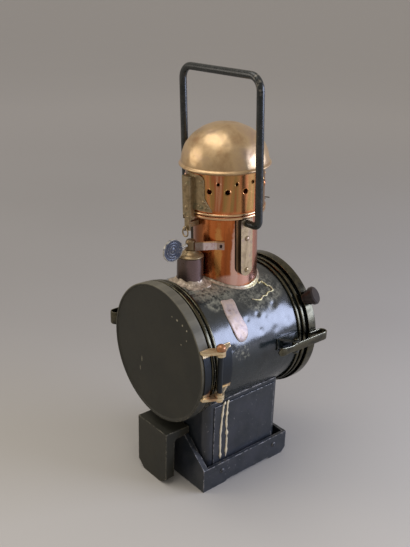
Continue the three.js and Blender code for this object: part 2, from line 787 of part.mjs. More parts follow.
function hairpinLatch(rimRadius, mouthY, endY, middleZ, height) {
  const [pivotX, pivotY] = latchPivot(mouthY);
  const [outer, inner] = [-latchReachX, -rimRadius - seatGap];
  const loopRadius = (inner - outer) / 2;
  const [loopX, loopY] = [outer + loopRadius, endY + loopRadius];
  const [z0, z1] = [middleZ - height / 2, middleZ + height / 2];
  const loop = new THREE.Shape();
  loop.moveTo(outer, loopY);
  loop.absarc(loopX, loopY, loopRadius, Math.PI, Math.PI * 2);
  loop.lineTo(inner, loopY + latchReturnLength);
  loop.lineTo(inner - latchStrip, loopY + latchReturnLength);
  loop.lineTo(inner - latchStrip, loopY);
  loop.absarc(loopX, loopY, loopRadius - latchStrip, Math.PI * 2, Math.PI, true);
  loop.lineTo(outer + latchStrip, pivotY + latchTailLength);
  loop.lineTo(outer, pivotY + latchTailLength);
  const eye = at(rod('z', latchEyeRadius, z0, z1), pivotX, pivotY, 0);
  const bore = at(rod('z', latchPinRadius + runningGap, z0 - overrun, z1 + overrun), pivotX, pivotY, 0);
  return cut(join(pushed('z', loop, z0, z1), eye), bore);
}

// Latch bracket: a plate on the drum and an ear above and below the strip
function latchBracket(mouthY, middleZ, height) {
  const [pivotX, pivotY] = latchPivot(mouthY);
  const footX = -drumRadius + latchPinHead + sheet;
  const ear = [
    [pivotX, pivotY - latchEyeRadius], [footX, pivotY - latchEarHalfBase],
    [footX, pivotY + latchEarHalfBase], [pivotX, pivotY + latchEyeRadius],
  ];
  const level = (z) => cut(
    join(
      pushed('z', ear, z, z + latchEarWall),
      at(rod('z', latchEyeRadius, z, z + latchEarWall), pivotX, pivotY, 0),
    ),
    drumSeat,
    at(rod('z', latchPinRadius + runningGap, z - overrun, z + latchEarWall + overrun), pivotX, pivotY, 0),
  );
  const [under, over] = [middleZ - height / 2 - seatGap - latchEarWall, middleZ + height / 2 + seatGap];
  const plate = bentPlate(drumRadius + seatGap, leafStrapWall, under, over + latchEarWall,
    pivotY - latchEarHalfBase, pivotY + latchEarHalfBase, 2).scale(-1, 1, 1);
  return join(plate, level(over), level(under));
}

function latchPin(mouthY, middleZ, height) {
  const [pivotX, pivotY] = latchPivot(mouthY);
  const half = height / 2 + seatGap + latchEarWall + seatGap;
  const profile = [
    [0, -half - latchPinHeadHeight], [latchPinHead, -half - latchPinHeadHeight], [latchPinHead, -half],
    [latchPinRadius, -half], [latchPinRadius, half], [latchPinHead, half],
    [latchPinHead, half + latchPinHeadHeight], [0, half + latchPinHeadHeight],
  ];
  return at(turned('z', profile, smallSides), pivotX, pivotY, middleZ);
}

piece('front_hinge_drum_leaf', drumLeaf(frontRimRadius, frontMouth), brass, 0.5, 0.7, frontEnd);
piece('front_hinge_pin', hingePin(frontRimRadius, frontMouth), brass, 0.35, 0.8, frontEnd);
const frontEars = latchBracket(frontMouth, frontLatchZ, frontLatchHeight);
piece('front_latch_bracket', frontEars, drumPaint, 0.4, 0.5, frontEnd);
piece('front_latch_pin', latchPin(frontMouth, frontLatchZ, frontLatchHeight), agedIron, 0.4, 0.7, frontEnd);
piece('lens_hinge_drum_leaf', drumLeaf(lensRimRadius, lensMouth), brass, 0.5, 0.7, lensEnd);
piece('lens_hinge_pin', hingePin(lensRimRadius, lensMouth), brass, 0.35, 0.8, lensEnd);
const lensEars = latchBracket(lensMouth, lensLatchZ, lensLatchHeight);
piece('lens_latch_bracket', lensEars, drumPaint, 0.4, 0.5, lensEnd);
piece('lens_latch_pin', latchPin(lensMouth, lensLatchZ, lensLatchHeight), agedIron, 0.4, 0.7, lensEnd);

const frontLatch = hairpinLatch(
  frontRimRadius, frontMouth, frontMouth - frontLatchStand, frontLatchZ, frontLatchHeight,
);
const lensLatch = hairpinLatch(
  lensRimRadius, lensMouth, lensMouth - lensLatchStand, lensLatchZ, lensLatchHeight,
);
piece('front_latch', frontLatch, agedIron, 0.45, 0.6, frontEnd);
piece('lens_latch', lensLatch, agedIron, 0.45, 0.6, lensEnd);

// Blank door: a shallow pan over the mouth, with its lugs and the reflector
function frontDoorPan() {
  const [rim, face, back] = [frontRimRadius, frontMouth - doorFaceStand, frontMouth + doorLap];
  const flat = rim - doorLipWidth - doorLip;
  return turned('y', [
    [0, face], [flat, face], [flat + doorLip, face - doorLip], [rim - doorLip / 2, face - doorLip],
    [rim, face - doorLip / 2], [rim, back], [rim - sheet, back], [rim - sheet, face + sheet],
    [0, face + sheet],
  ], drumSides).translate(0, 0, drumAxisZ);
}

function reflector() {
  const seat = frontMouth - doorFaceStand + sheet + seatGap;
  const dish = seat + reflectorBossHeight;
  const steps = 5;
  const bowl = (radius) => reflectorDepth * (radius / reflectorRadius) ** 2;
  const profile = [[0, seat], [reflectorBoss, seat], [reflectorBoss, dish + bowl(reflectorBoss)]];
  for (let i = 1; i <= steps; i += 1) {
    const radius = reflectorBoss + (reflectorRadius - reflectorBoss) * (i / steps);
    profile.push([radius, dish + bowl(radius)]);
  }
  for (let i = steps; i >= 0; i -= 1) {
    const radius = reflectorRadius * (i / steps);
    profile.push([radius, dish + bowl(radius) + reflectorWall]);
  }
  return turned('y', profile, stackSides).translate(0, 0, drumAxisZ);
}

piece('front_door_pan', frontDoorPan(), olivePaint, 0.6, 0.2, frontEnd);
piece('front_hinge_door_leaf', doorLeaf(frontRimRadius, frontMouth), brass, 0.5, 0.7, frontEnd);
piece('reflector', reflector(), '#c9cbc9', 0.15, 1, frontEnd);

// Lens door: bezel, lugs, domed glass, the ring that holds it, and a pull knob
const bezelFace = lensMouth - doorFaceStand - doorLip;

function lensBezel() {
  const [rim, back, inside] = [lensRimRadius, lensMouth + doorLap, bezelFace + sheet];
  return turned('y', [
    [lensOpening, bezelFace], [rim - doorLip, bezelFace], [rim, bezelFace + doorLip], [rim, back],
    [rim - sheet, back], [rim - sheet, inside], [lensOpening, inside],
  ], drumSides).translate(0, 0, drumAxisZ);
}

function lensGlass() {
  const front = bezelFace + sheet + seatGap;
  const steps = 4;
  const crown = lensOpening - lensEase;
  const back = front + lensEdge;
  const profile = [[0, back], [lensRadius, back], [lensRadius, front], [crown, front]];
  for (let i = 1; i <= steps; i += 1) {
    const share = 1 - i / steps;
    profile.push([crown * share, front - lensBulge * (1 - share ** 2)]);
  }
  return turned('y', profile, stackSides).translate(0, 0, drumAxisZ);
}

function lensRetainer() {
  const front = bezelFace + sheet + seatGap + lensEdge + seatGap;
  return turned('y', [
    [retainerInner, front], [retainerOuter, front],
    [retainerOuter, front + retainerWall], [retainerInner, front + retainerWall],
  ], stackSides).translate(0, 0, drumAxisZ);
}

function doorPull() {
  const collarTop = pullNeckHeight + pullCollarHeight;
  const capTop = collarTop + pullCapHeight;
  const knob = turned('z', [
    [0, -pullFootDepth], [pullNeckRadius, -pullFootDepth],
    [pullNeckRadius, pullNeckHeight], [pullCollarRadius, pullNeckHeight],
    [pullCollarRadius, collarTop], [pullCapRadius, collarTop], [pullCapRadius, capTop - pullEase],
    [pullCapRadius - pullEase, capTop], [0, capTop],
  ], smallSides);
  knob.rotateX(pullTilt).translate(0, 0, lensRimRadius + seatGap * 2).rotateY(pullAngle - Math.PI / 2)
    .translate(0, lensMouth + pullInset, drumAxisZ);
  return cut(knob, drumAround(lensRimRadius + seatGap));
}

piece('lens_bezel', lensBezel(), agedIron, 0.4, 0.6, lensEnd);
piece('lens_hinge_door_leaf', doorLeaf(lensRimRadius, lensMouth), brass, 0.5, 0.7, lensEnd);
piece('lens_glass', lensGlass(), '#dfe9e6', 0.05, 0, lensEnd).material.opacity = 0.4;
piece('lens_retainer', lensRetainer(), brass, 0.4, 0.8, lensEnd);
piece('lens_door_pull', doorPull(), '#4a2a22', 0.45, 0.2, lensEnd);

// Chimney, its collar and the flue inside
function chimneyTube() {
  const [outer, inner] = [chimneyRadius, chimneyRadius - chimneyWall];
  const low = drumAxisZ + drumRadius / 2;
  const tube = turned('z', [
    [inner, low], [outer, low], [outer, chimneyTopZ], [inner, chimneyTopZ],
  ], stackSides);
  return cut(leaned(at(tube, 0, stackY, 0)), drumSeat);
}

function chimneyCollar() {
  const inner = chimneyRadius + seatGap;
  const top = collarZ + collarHeight;
  const collar = turned('z', [
    [inner, collarZ], [collarRadius - collarEase, collarZ], [collarRadius, collarZ + collarEase],
    [collarRadius, top - collarEase], [collarRadius - collarEase, top], [inner, top],
  ], stackSides);
  return at(collar, 0, stackY, 0);
}

function innerFlue() {
  const [outer, inner] = [flueRadius, flueRadius - flueWall];
  const flange = chimneyRadius - chimneyWall - seatGap;
  const flue = turned('z', [
    [inner, flueBottomZ], [outer, flueBottomZ], [outer, flueTopZ - flueWall],
    [flange, flueTopZ - flueWall], [flange, flueTopZ], [inner, flueTopZ],
  ], stackSides);
  return at(flue, 0, stackY, 0);
}

piece('chimney_tube', chimneyTube(), copper, 0.3, 0.9);
piece('chimney_collar', leaned(chimneyCollar()), copper, 0.35, 0.9);
piece('inner_flue', leaned(innerFlue()), '#4b4744', 0.8, 0.4);

// Hood: gallery with two rows of vents, and the dome
function hoodGallery() {
  const [outer, inner] = [galleryRadius, galleryRadius - galleryWall];
  const bead = outer + galleryBeadRise;
  const wall = turned('z', [
    [inner, galleryBottomZ], [outer, galleryBottomZ], [bead, galleryBottomZ + galleryBeadHeight / 4],
    [bead, galleryBottomZ + galleryBeadHeight * 3 / 4], [outer, galleryBottomZ + galleryBeadHeight],
    [outer, galleryTopZ], [inner, galleryTopZ],
  ], stackSides);
  const pitch = Math.PI * 2 / ventCount;
  const vent = (radius, z, angle) =>
    rod('x', radius, inner - overrun, outer + overrun, ventSides).rotateZ(angle).translate(0, 0, z);
  const vents = [];
  for (let i = 0; i < ventCount; i += 1) {
    vents.push(vent(upperVentRadius, galleryTopZ - upperVentDrop, upperVentAngle + pitch * i));
    vents.push(vent(lowerVentRadius, galleryTopZ - lowerVentDrop, upperVentAngle + pitch * (i + 0.5)));
  }
  return at(cut(wall, ...vents), 0, stackY, 0);
}

function hoodDome() {
  const [rimLow, rimHigh] = [domeRimZ - domeRimHalf, domeRimZ + domeRimHalf];
  const rise = domeTopZ - rimHigh;
  const crown = (radius, height) => {
    const arc = [];
    for (let i = 0; i <= domeArcSteps; i += 1) {
      const turn = (i / domeArcSteps) * Math.PI / 2;
      arc.push([i === domeArcSteps ? 0 : radius * Math.cos(turn), rimHigh + height * Math.sin(turn)]);
    }
    return arc;
  };
  const profile = [
    ...crown(domeRadius, rise).reverse(),
    [domeRimRadius, domeRimZ + domeRimHalf / 3], [domeRimRadius, domeRimZ - domeRimHalf / 3],
    [domeRadius, rimLow], [galleryRadius + seatGap, rimLow], [galleryRadius + seatGap, rimLow + domeWall],
    [domeRadius - domeWall, rimLow + domeWall],
    ...crown(domeRadius - domeWall, rise - domeWall),
  ];
  return at(turned('z', profile, stackSides), 0, stackY, 0);
}

piece('hood_gallery', leaned(hoodGallery()), copper, 0.3, 0.9);
piece('hood_dome', leaned(hoodDome()), bronze, 0.4, 0.8);

// Hood hinge behind the chimney: two leaves on one pin with a split end
const hoodPinY = stackY + collarRadius + hoodPinStand;
const hoodPinZ = collarZ + collarHeight + hoodPinRadius;

function lowerHoodLeaf() {
  const wallY = stackY + chimneyRadius + seatGap;
  const [outY, under] = [hoodPinY - hoodKnuckleRadius, collarZ - seatGap * 2];
  const side = [
    [wallY, collarZ - lowerLeafLength], [wallY + hoodLeafWall, collarZ - lowerLeafLength],
    [wallY + hoodLeafWall, under - hoodKnuckleRadius * 2], [outY + hoodLeafWall, under - hoodKnuckleRadius],
    [hoodPinY + hoodKnuckleRadius / 2, hoodPinZ - hoodKnuckleRadius / 2], [hoodPinY, hoodPinZ],
    [outY, hoodPinZ - hoodKnuckleRadius / 2], [outY - hoodLeafWall / 2, under],
    [wallY, under - hoodKnuckleRadius * 1.4],
  ];
  const leaf = join(
    pushed('x', side, -hoodLeafHalf, hoodLeafHalf),
    at(rod('x', hoodKnuckleRadius, -hoodLeafHalf, hoodLeafHalf), 0, hoodPinY, hoodPinZ),
  );
  const gap = hoodKnuckleHalf + seatGap;
  const knuckleRoom = block(-gap, gap, outY - hoodLeafWall / 2, hoodPinY + hoodLeafHalf,
    under - hoodKnuckleRadius / 2, hoodPinZ + hoodLeafHalf);
  const bore = rod('x', hoodPinRadius + runningGap, -hoodLeafHalf - overrun, hoodLeafHalf + overrun);
  return cut(leaf, knuckleRoom, at(bore, 0, hoodPinY, hoodPinZ));
}

function upperHoodLeaf() {
  const wallY = stackY + galleryRadius + seatGap;
  const beadTop = galleryBottomZ + galleryBeadHeight + seatGap;
  const upperLeafTopZ = galleryTopZ - upperLeafDrop;
  const side = [
    [wallY, upperLeafTopZ], [wallY, beadTop + hoodLeafWall],
    [hoodPinY - hoodKnuckleRadius / 2, hoodPinZ + hoodPinRadius],
    [hoodPinY, hoodPinZ], [hoodPinY + hoodKnuckleRadius, hoodPinZ],
    [hoodPinY + hoodKnuckleRadius / 2, beadTop + hoodLeafWall],
    [wallY + hoodLeafWall, beadTop + hoodLeafWall * 3], [wallY + hoodLeafWall, upperLeafTopZ],
  ];
  const leaf = join(
    pushed('x', side, -hoodKnuckleHalf, hoodKnuckleHalf),
    at(rod('x', hoodKnuckleRadius, -hoodKnuckleHalf, hoodKnuckleHalf), 0, hoodPinY, hoodPinZ),
    block(-hoodLeafHalf + overrun, hoodLeafHalf - overrun, wallY, wallY + hoodLeafWall,
      beadTop + hoodLeafWall * 4, upperLeafTopZ),
  );
  const bore = rod('x', hoodPinRadius + runningGap, -hoodLeafHalf, hoodLeafHalf);
  return cut(leaf, at(bore, 0, hoodPinY, hoodPinZ));
}

function hoodHingePin() {
  const end = hoodLeafHalf + seatGap;
  const shaft = rod('x', hoodPinRadius, -end - hoodPinRadius, end + hoodPinRadius);
  const head = rod('x', hoodPinRadius * 2, -end - hoodPinRadius, -end);
  const leg = rod('x', splitLegRadius, 0, splitLegLength, rivetSides);
  const legs = [1, -1].map((side) => leg.clone().rotateZ(side * splitLegAngle).translate(end, 0, 0));
  return at(join(shaft, head, ...legs), 0, hoodPinY, hoodPinZ);
}

piece('hood_hinge_lower_leaf', leaned(lowerHoodLeaf()), bronze, 0.5, 0.7);
piece('hood_hinge_upper_leaf', leaned(upperHoodLeaf()), bronze, 0.5, 0.7);
piece('hood_hinge_pin', leaned(hoodHingePin()), agedIron, 0.5, 0.7);

// Hood latch in front: a strap with a hollow rib, a hanging tongue with its ring, and the keeper
const ribFrontY = stackY - galleryRadius - ribStand;
const tonguePinY = ribFrontY + tonguePinInset;
const ribInner = [ribLeftX + ribCheek, ribRightX - ribCheek];
const ringHoleZ = tongueBottomZ + ringWire * 3.5;
const ringHoleX = (ribInner[0] + ribInner[1]) / 2;
const ringHoleY = tonguePinY - tongueWall / 2 - ringEyeStand;

// The plate on the gallery: a ring cut to the strap's outline, which has a shoulder and a wing
function strapPlate() {
  const [inner, outer] = [galleryRadius + seatGap, galleryRadius + seatGap + strapWall];
  const ring = turned('z', [
    [inner, strapBottomZ - overrun], [outer, strapBottomZ - overrun],
    [outer, strapTopZ + overrun], [inner, strapTopZ + overrun],
  ], stackSides);
  const outline = new THREE.Shape();
  outline.moveTo(-strapHalfWidth, strapBottomZ);
  outline.lineTo(strapWingX, strapBottomZ);
  outline.lineTo(strapHalfWidth, strapWingTopZ);
  outline.absarc(strapHalfWidth - strapShoulder, strapTopZ - strapShoulder, strapShoulder, 0, Math.PI / 2);
  outline.lineTo(-strapHalfWidth, strapTopZ);
  return common(at(ring, 0, stackY, 0), pushed('y', outline, stackY - outer - overrun, stackY, 4));
}

function hoodLatchStrap() {
  const behind = stackY - galleryRadius + strapWall;
  const outline = roundedRectangle(ribLeftX, ribRightX, ribFrontY, behind + ribEase * 2, ribEase);
  const rib = pushed('z', outline, ribBottomZ, ribTopZ);
  const [x0, x1] = ribInner;
  const mouth = block(x0, x1, ribFrontY - overrun, behind, ribBottomZ - overrun,
    tonguePinZ + tongueKnuckle + seatGap);
  const hollow = block(x0, x1, ribFrontY + ribCheek, behind, ribBottomZ - overrun, ribTopZ - ribCheek);
  const below = ribBottomZ - overrun;
  const beadTop = galleryBottomZ + galleryBeadHeight + seatGap;
  const roomFor = (radius, top) => at(rod('z', radius + seatGap, below, top, stackSides), 0, stackY, 0);
  const galleryCut = roomFor(galleryRadius, strapTopZ);
  const beadCut = roomFor(galleryRadius + galleryBeadRise, beadTop);
  const pin = at(rod('x', tonguePinRadius, x0 - ribCheek / 2, x1 + ribCheek / 2), 0, tonguePinY, tonguePinZ);
  return join(cut(join(rib, strapPlate()), mouth, hollow, galleryCut, beadCut), pin, ...strapRivets());
}

function hoodTongue() {
  const [x0, x1] = [ribInner[0] + seatGap, ribInner[1] - seatGap];
  const half = tongueWall / 2;
  const plate = block(x0, x1, tonguePinY - half, tonguePinY + half, tongueBottomZ, tonguePinZ);
  const knuckle = at(rod('x', tongueKnuckle, x0, x1), 0, tonguePinY, tonguePinZ);
  const bore = rod('x', tonguePinRadius + runningGap, x0 - overrun, x1 + overrun);
  const eye = rod('x', ringEyeRadius, -ringEyeHalf, ringEyeHalf);
  const ringHole = rod('x', ringWire * 2, -ringEyeHalf - overrun, ringEyeHalf + overrun);
  return cut(
    join(plate, knuckle, at(eye, ringHoleX, ringHoleY, ringHoleZ)),
    at(bore, 0, tonguePinY, tonguePinZ),
    at(ringHole, ringHoleX, ringHoleY, ringHoleZ),
  );
}

function tongueRing() {
  const ring = new THREE.TorusGeometry(ringRadius, ringWire, ringWireSides, ringSides).rotateX(Math.PI / 2);
  return at(ring, ringHoleX, ringHoleY, ringHoleZ - ringRadius - ringWire / 2);
}

function hoodKeeper() {
  const middle = (ribInner[0] + ribInner[1]) / 2;
  const front = tonguePinY + tongueWall / 2 + seatGap;
  const [left, right] = [middle - keeperHalf, middle + keeperHalf];
  const stand = block(left, right, front, stackY, keeperZ, keeperZ + keeperHeight);
  return cut(stand, chimneySeatCut);
}

// Rivet heads on the face of the strap
function strapRivets() {
  const surface = galleryRadius + seatGap + strapWall;
  const inset = latchRivetRadius * 2;
  const places = [
    [strapHalfWidth - inset, strapTopZ - strapShoulder], [strapHalfWidth - inset, strapBottomZ + inset],
    [strapWingX - inset * 1.5, strapBottomZ + inset],
  ];
  const head = rivet(latchRivetRadius, latchRivetHeight, latchRivetRadius / 2, strapWall / 2)
    .rotateX(Math.PI / 2).translate(0, -surface, 0);
  return places.map(([x, z]) => head.clone().rotateZ(Math.asin(x / surface)).translate(0, stackY, z));
}

piece('hood_latch_strap', leaned(hoodLatchStrap()), '#78644a', 0.5, 0.7);
piece('hood_tongue', leaned(hoodTongue()), '#78644a', 0.5, 0.7);
piece('tongue_ring', leaned(tongueRing()), brass, 0.4, 0.8);
piece('hood_keeper', leaned(hoodKeeper()), '#78644a', 0.5, 0.7);

// Bail and the dished brackets that carry it
const saddleFace = chimneyRadius + saddleStand + saddlePlate;
const saddleInside = Math.sqrt(chimneyRadius ** 2 - (bailSetForward + saddleHalf) ** 2);
const saddleTopZ = collarZ - saddleTopGap;
const saddleRivetPlaces = [collarZ - saddleUpperRivetDrop, saddleBottomZ + saddleLowerRivetRise];

function saddleOutline(inset) {
  const [half, low] = [saddleHalf - inset, saddleBottomZ + saddleHalf];
  const shape = new THREE.Shape();
  shape.moveTo(bailY + half, saddleTopZ - inset);
  shape.lineTo(bailY - half, saddleTopZ - inset);
  shape.lineTo(bailY - half, low);
  shape.absarc(bailY, low, half, Math.PI, Math.PI * 2);
  return shape;
}

function bailBracket() {
  const dish = pushed('x', saddleOutline(0), saddleInside, saddleFace);
  const hollow = pushed('x', saddleOutline(saddleFold), saddleInside - overrun, saddleFace - saddlePlate);
  const head = rivet(rivetHeadRadius, rivetHeadHeight, rivetShankRadius, saddleStand).rotateY(Math.PI / 2);
  const rivets = saddleRivetPlaces.map((z) => at(head, saddleFace, bailY, z));
  const eye = rod('x', bailPinRadius + runningGap, saddleInside, saddleFace + overrun);
  return cut(join(cut(dish, hollow), ...rivets), chimneySeatCut, at(eye, 0, bailY, bailPivotZ));
}

function bailBar() {
  const stations = [];
  const bend = (centreX, centreZ, radius, from, to) => {
    for (let i = 0; i <= bailBendSteps; i += 1) {
      const turn = from + (to - from) * (i / bailBendSteps);
      const [x, z] = [centreX + radius * Math.cos(turn), centreZ + radius * Math.sin(turn)];
      stations.push(new THREE.Vector3(x, bailY, z));
    }
  };
  const shoulder = saddleFace + seatGap;
  const footX = bailHalfWidth - bailFootBend;
  const topX = bailHalfWidth - bailTopBend;
  const [footZ, topZ] = [bailPivotZ + bailFootBend, bailTopZ - bailTopBend];
  stations.push(new THREE.Vector3(shoulder, bailY, bailPivotZ));
  bend(footX, footZ, bailFootBend, -Math.PI / 2, 0);
  bend(topX, topZ, bailTopBend, 0, Math.PI / 2);
  bend(-topX, topZ, bailTopBend, Math.PI / 2, Math.PI);
  bend(-footX, footZ, bailFootBend, Math.PI, Math.PI * 1.5);
  stations.push(new THREE.Vector3(-shoulder, bailY, bailPivotZ));
  const ends = [1, -1].map((side) => {
    const plateBack = saddleFace - saddlePlate - seatGap;
    const pin = rod('x', bailPinRadius, plateBack - bailHeadWidth, shoulder + bailPinRadius);
    const head = rod('x', bailHeadRadius, plateBack - bailHeadWidth, plateBack);
    return at(join(pin, head).scale(side, 1, 1), 0, bailY, bailPivotZ);
  });
  return join(bentBar(stations, bailRadius, smallSides), ...ends);
}

piece('bail_bracket_right', leaned(bailBracket()), steelGrey, 0.45, 0.7);
piece('bail_bracket_left', leaned(bailBracket().scale(-1, 1, 1)), steelGrey, 0.45, 0.7);
piece('bail', leaned(bailBar()), blackIron, 0.45, 0.5);

// Shade spindle: tube on the drum, gland, spindle with thumb disc, and the coloured shade inside
const spindleHeadCut = at(rod('z', spindleHeadRadius + seatGap, drumAxisZ, bailPivotZ), 0, spindleY, 0);

function spindleTube() {
  const [outer, inner] = [spindleTubeRadius, spindleTubeRadius - spindleTubeWall];
  const low = drumAxisZ + drumRadius / 2;
  const tube = turned('z', [
    [inner, low], [outer, low], [outer, spindleTubeTopZ], [inner, spindleTubeTopZ],
  ], smallSides * 2);
  return cut(at(tube, 0, spindleY, 0), drumSeat);
}

function spindleGland() {
  const [bore, z] = [spindleRadius + runningGap, spindleTubeTopZ + seatGap];
  const gland = turned('z', [
    [bore, z], [spindleTubeRadius, z], [spindleTubeRadius, z + glandRimHeight],
    [glandShoulderRadius, z + glandShoulderHeight], [glandNeckRadius, z + glandNeckHeight],
    [glandNeckRadius, glandTopZ], [bore, glandTopZ],
  ], smallSides * 2);
  return at(gland, 0, spindleY, 0);
}

function shadeSpindle() {
  const headZ = glandTopZ + seatGap;
  const low = drumAxisZ + shadeRadius + seatGap;
  const spindle = turned('z', [
    [0, low], [spindleRadius, low], [spindleRadius, headZ], [spindleHeadRadius, headZ],
    [spindleHeadRadius, headZ + spindleHeadHeight - spindleRadius],
    [spindleHeadRadius - spindleRadius / 2, headZ + spindleHeadHeight], [0, headZ + spindleHeadHeight],
  ], smallSides);
  return at(spindle, 0, spindleY, 0);
}

function thumbDisc() {
  const middleZ = glandTopZ + seatGap + spindleHeadHeight / 2;
  const half = thumbDiscWall / 2;
  const disc = rod('x', thumbDiscRadius, -half, half, smallSides * 2);
  const headFace = spindleY - spindleHeadRadius - seatGap;
  const arm = block(-half, half, spindleY - thumbDiscReach, headFace,
    middleZ - thumbArmHeight / 2, middleZ + thumbArmHeight / 2);
  return cut(join(at(disc, 0, spindleY - thumbDiscReach, middleZ - thumbDiscDrop), arm), spindleHeadCut);
}

function shadeFrame() {
  const half = shadeWidth / 2;
  const ring = rod('x', shadeRadius, -half, half, smallSides * 2);
  const hole = rod('x', shadeRadius - shadeRim, -half - overrun, half + overrun, smallSides * 2);
  return at(cut(ring, hole), 0, spindleY, drumAxisZ);
}

function shadeGlass() {
  const half = shadeGlassWall / 2;
  return at(rod('x', shadeRadius - shadeRim - seatGap, -half, half, smallSides * 2), 0, spindleY, drumAxisZ);
}

// A strip that follows the chimney and reaches out to the side of the spindle head
function catchSpring() {
  const [inner, outer] = [chimneyRadius + seatGap, chimneyRadius + seatGap + springWall];
  const root = [outer * Math.cos(springStart), stackY + outer * Math.sin(springStart)];
  const tip = [spindleHeadRadius + seatGap * 2, spindleY + spindleHeadRadius / 2];
  const away = new THREE.Vector2(tip[0] - root[0], tip[1] - root[1]).normalize().multiplyScalar(springWall);
  const arc = new THREE.Shape();
  arc.absarc(0, stackY, outer, springStart, springEnd);
  arc.absarc(0, stackY, inner, springEnd, springStart, true);
  const arm = [root, tip, [tip[0] - away.y, tip[1] + away.x], [root[0] - away.y, root[1] + away.x]];
  const [z0, z1] = [glandTopZ + springRise, glandTopZ + springRise + springHeight];
  const bend = at(rod('z', springWall, z0, z1), root[0], root[1], 0);
  const strip = cut(join(pushed('z', arc, z0, z1), bend, pushed('z', arm, z0, z1)), chimneySeatCut);
  return cut(leaned(strip), spindleHeadCut);
}

piece('spindle_tube', spindleTube(), '#4f4440', 0.35, 0.7);
piece('spindle_gland', spindleGland(), brass, 0.5, 0.7);
piece('shade_spindle', shadeSpindle(), bronze, 0.45, 0.7);
piece('thumb_disc', thumbDisc(), '#4b5064', 0.4, 0.6);
piece('shade_frame', shadeFrame(), brass, 0.5, 0.7);
piece('shade_glass', shadeGlass(), '#a11f1a', 0.1, 0).material.opacity = 0.6;
piece('catch_spring', catchSpring(), '#b9a0a0', 0.35, 0.8);

// Inside: oil font, burner with its winder, the wick that hangs into the oil, and the lamp glass
function oilFont() {
  const half = wellHalfWidth - sheet - fontSideGap;
  const [front, rear] = [wellFrontY + fontEndGap, wellRearY - fontEndGap];
  const bottom = wellFloorZ + sheet + seatGap;
  const walled = (wall) =>
    roundedRectangle(-half + wall, half - wall, front + wall, rear - wall, wellCorner - wall);
  const tank = pushed('z', walled(0), bottom, fontTopZ);
  const room = pushed('z', walled(fontWall), bottom + fontWall, fontTopZ - fontWall);
  const neck = rod('z', burnerNeckRadius, fontTopZ - fontWall - overrun, fontTopZ + overrun, smallSides * 2);
  return cut(tank, room, at(neck, 0, stackY, 0));
}

function burner() {
  const z = fontTopZ + seatGap;
  const plateTop = burnerPlateZ + burnerPlateWall;
  const body = turned('z', [
    [0, z], [burnerBaseRadius, z], [burnerBaseRadius, z + burnerBaseHeight],
    [burnerNeckRadius, z + burnerBaseHeight * 2], [burnerNeckRadius, burnerPlateZ - burnerPlateWall],
    [burnerPlateRadius, burnerPlateZ], [burnerPlateRadius, plateTop], [burnerNeckRadius, plateTop],
    [burnerTopRadius, burnerTopZ], [0, burnerTopZ],
  ], smallSides * 2);
  const [halfX, halfY] = [wickHalfWidth + seatGap, wickHalfThick + seatGap];
  const slot = block(-halfX, halfX, -halfY, halfY, fontTopZ, burnerTopZ + overrun);
  const bore = at(rod('y', winderShaft + runningGap, -burnerPlateRadius, 0), 0, 0, winderZ);
  return at(cut(body, slot, bore), 0, stackY, 0);
}

function wick() {
  const top = burnerTopZ + wickStand;
  const ribbon = block(-wickHalfWidth, wickHalfWidth, -wickHalfThick, wickHalfThick, top - wickLength, top);
  return at(ribbon, 0, stackY, 0);
}

function wickWinder() {
  const inner = -wickHalfThick - seatGap * 2;
  const shaft = rod('y', winderShaft, -winderReach, inner);
  const knob = rod('y', winderKnobRadius, -winderReach - winderKnobWidth, -winderReach, smallSides * 2);
  return at(join(shaft, knob), 0, stackY, winderZ);
}

function lampGlass() {
  const low = burnerPlateZ + burnerPlateWall + seatGap;
  const rise = glassTopZ - low;
  const outer = [
    [glassFootRadius, low], [glassBellyRadius, low + rise * glassBellyShare],
    [glassMouthRadius, low + rise * glassNeckShare], [glassMouthRadius, glassTopZ],
  ];
  const inner = outer.map(([radius, z]) => [radius - glassWall, z]).reverse();
  return at(turned('z', [...outer, ...inner], smallSides * 2), 0, stackY, 0);
}

piece('oil_font', oilFont(), '#6d6f70', 0.5, 0.7);
piece('burner', burner(), brass, 0.4, 0.8);
piece('wick', wick(), '#e6dcc4', 0.95, 0);
piece('wick_winder', wickWinder(), brass, 0.4, 0.8);
piece('lamp_glass', lampGlass(), '#e8efed', 0.05, 0).material.opacity = 0.35;

export default lamp;
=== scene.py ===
# %% [markdown]
# A railway oil lamp, dressed in Blender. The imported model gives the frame: every solid, the body
# it moves with, and its place. This script keeps those places and gives each solid the finish and
# the finer shape that the real sheet metal, solder and cast iron show.
# Lengths are in millimetres and become metres when a mesh is made.
# %% Load the frame
import json
from math import atan2, cos, exp, hypot, pi, radians, sin, sqrt, tau

import bmesh
import bpy
from mathutils import Matrix, Vector, noise

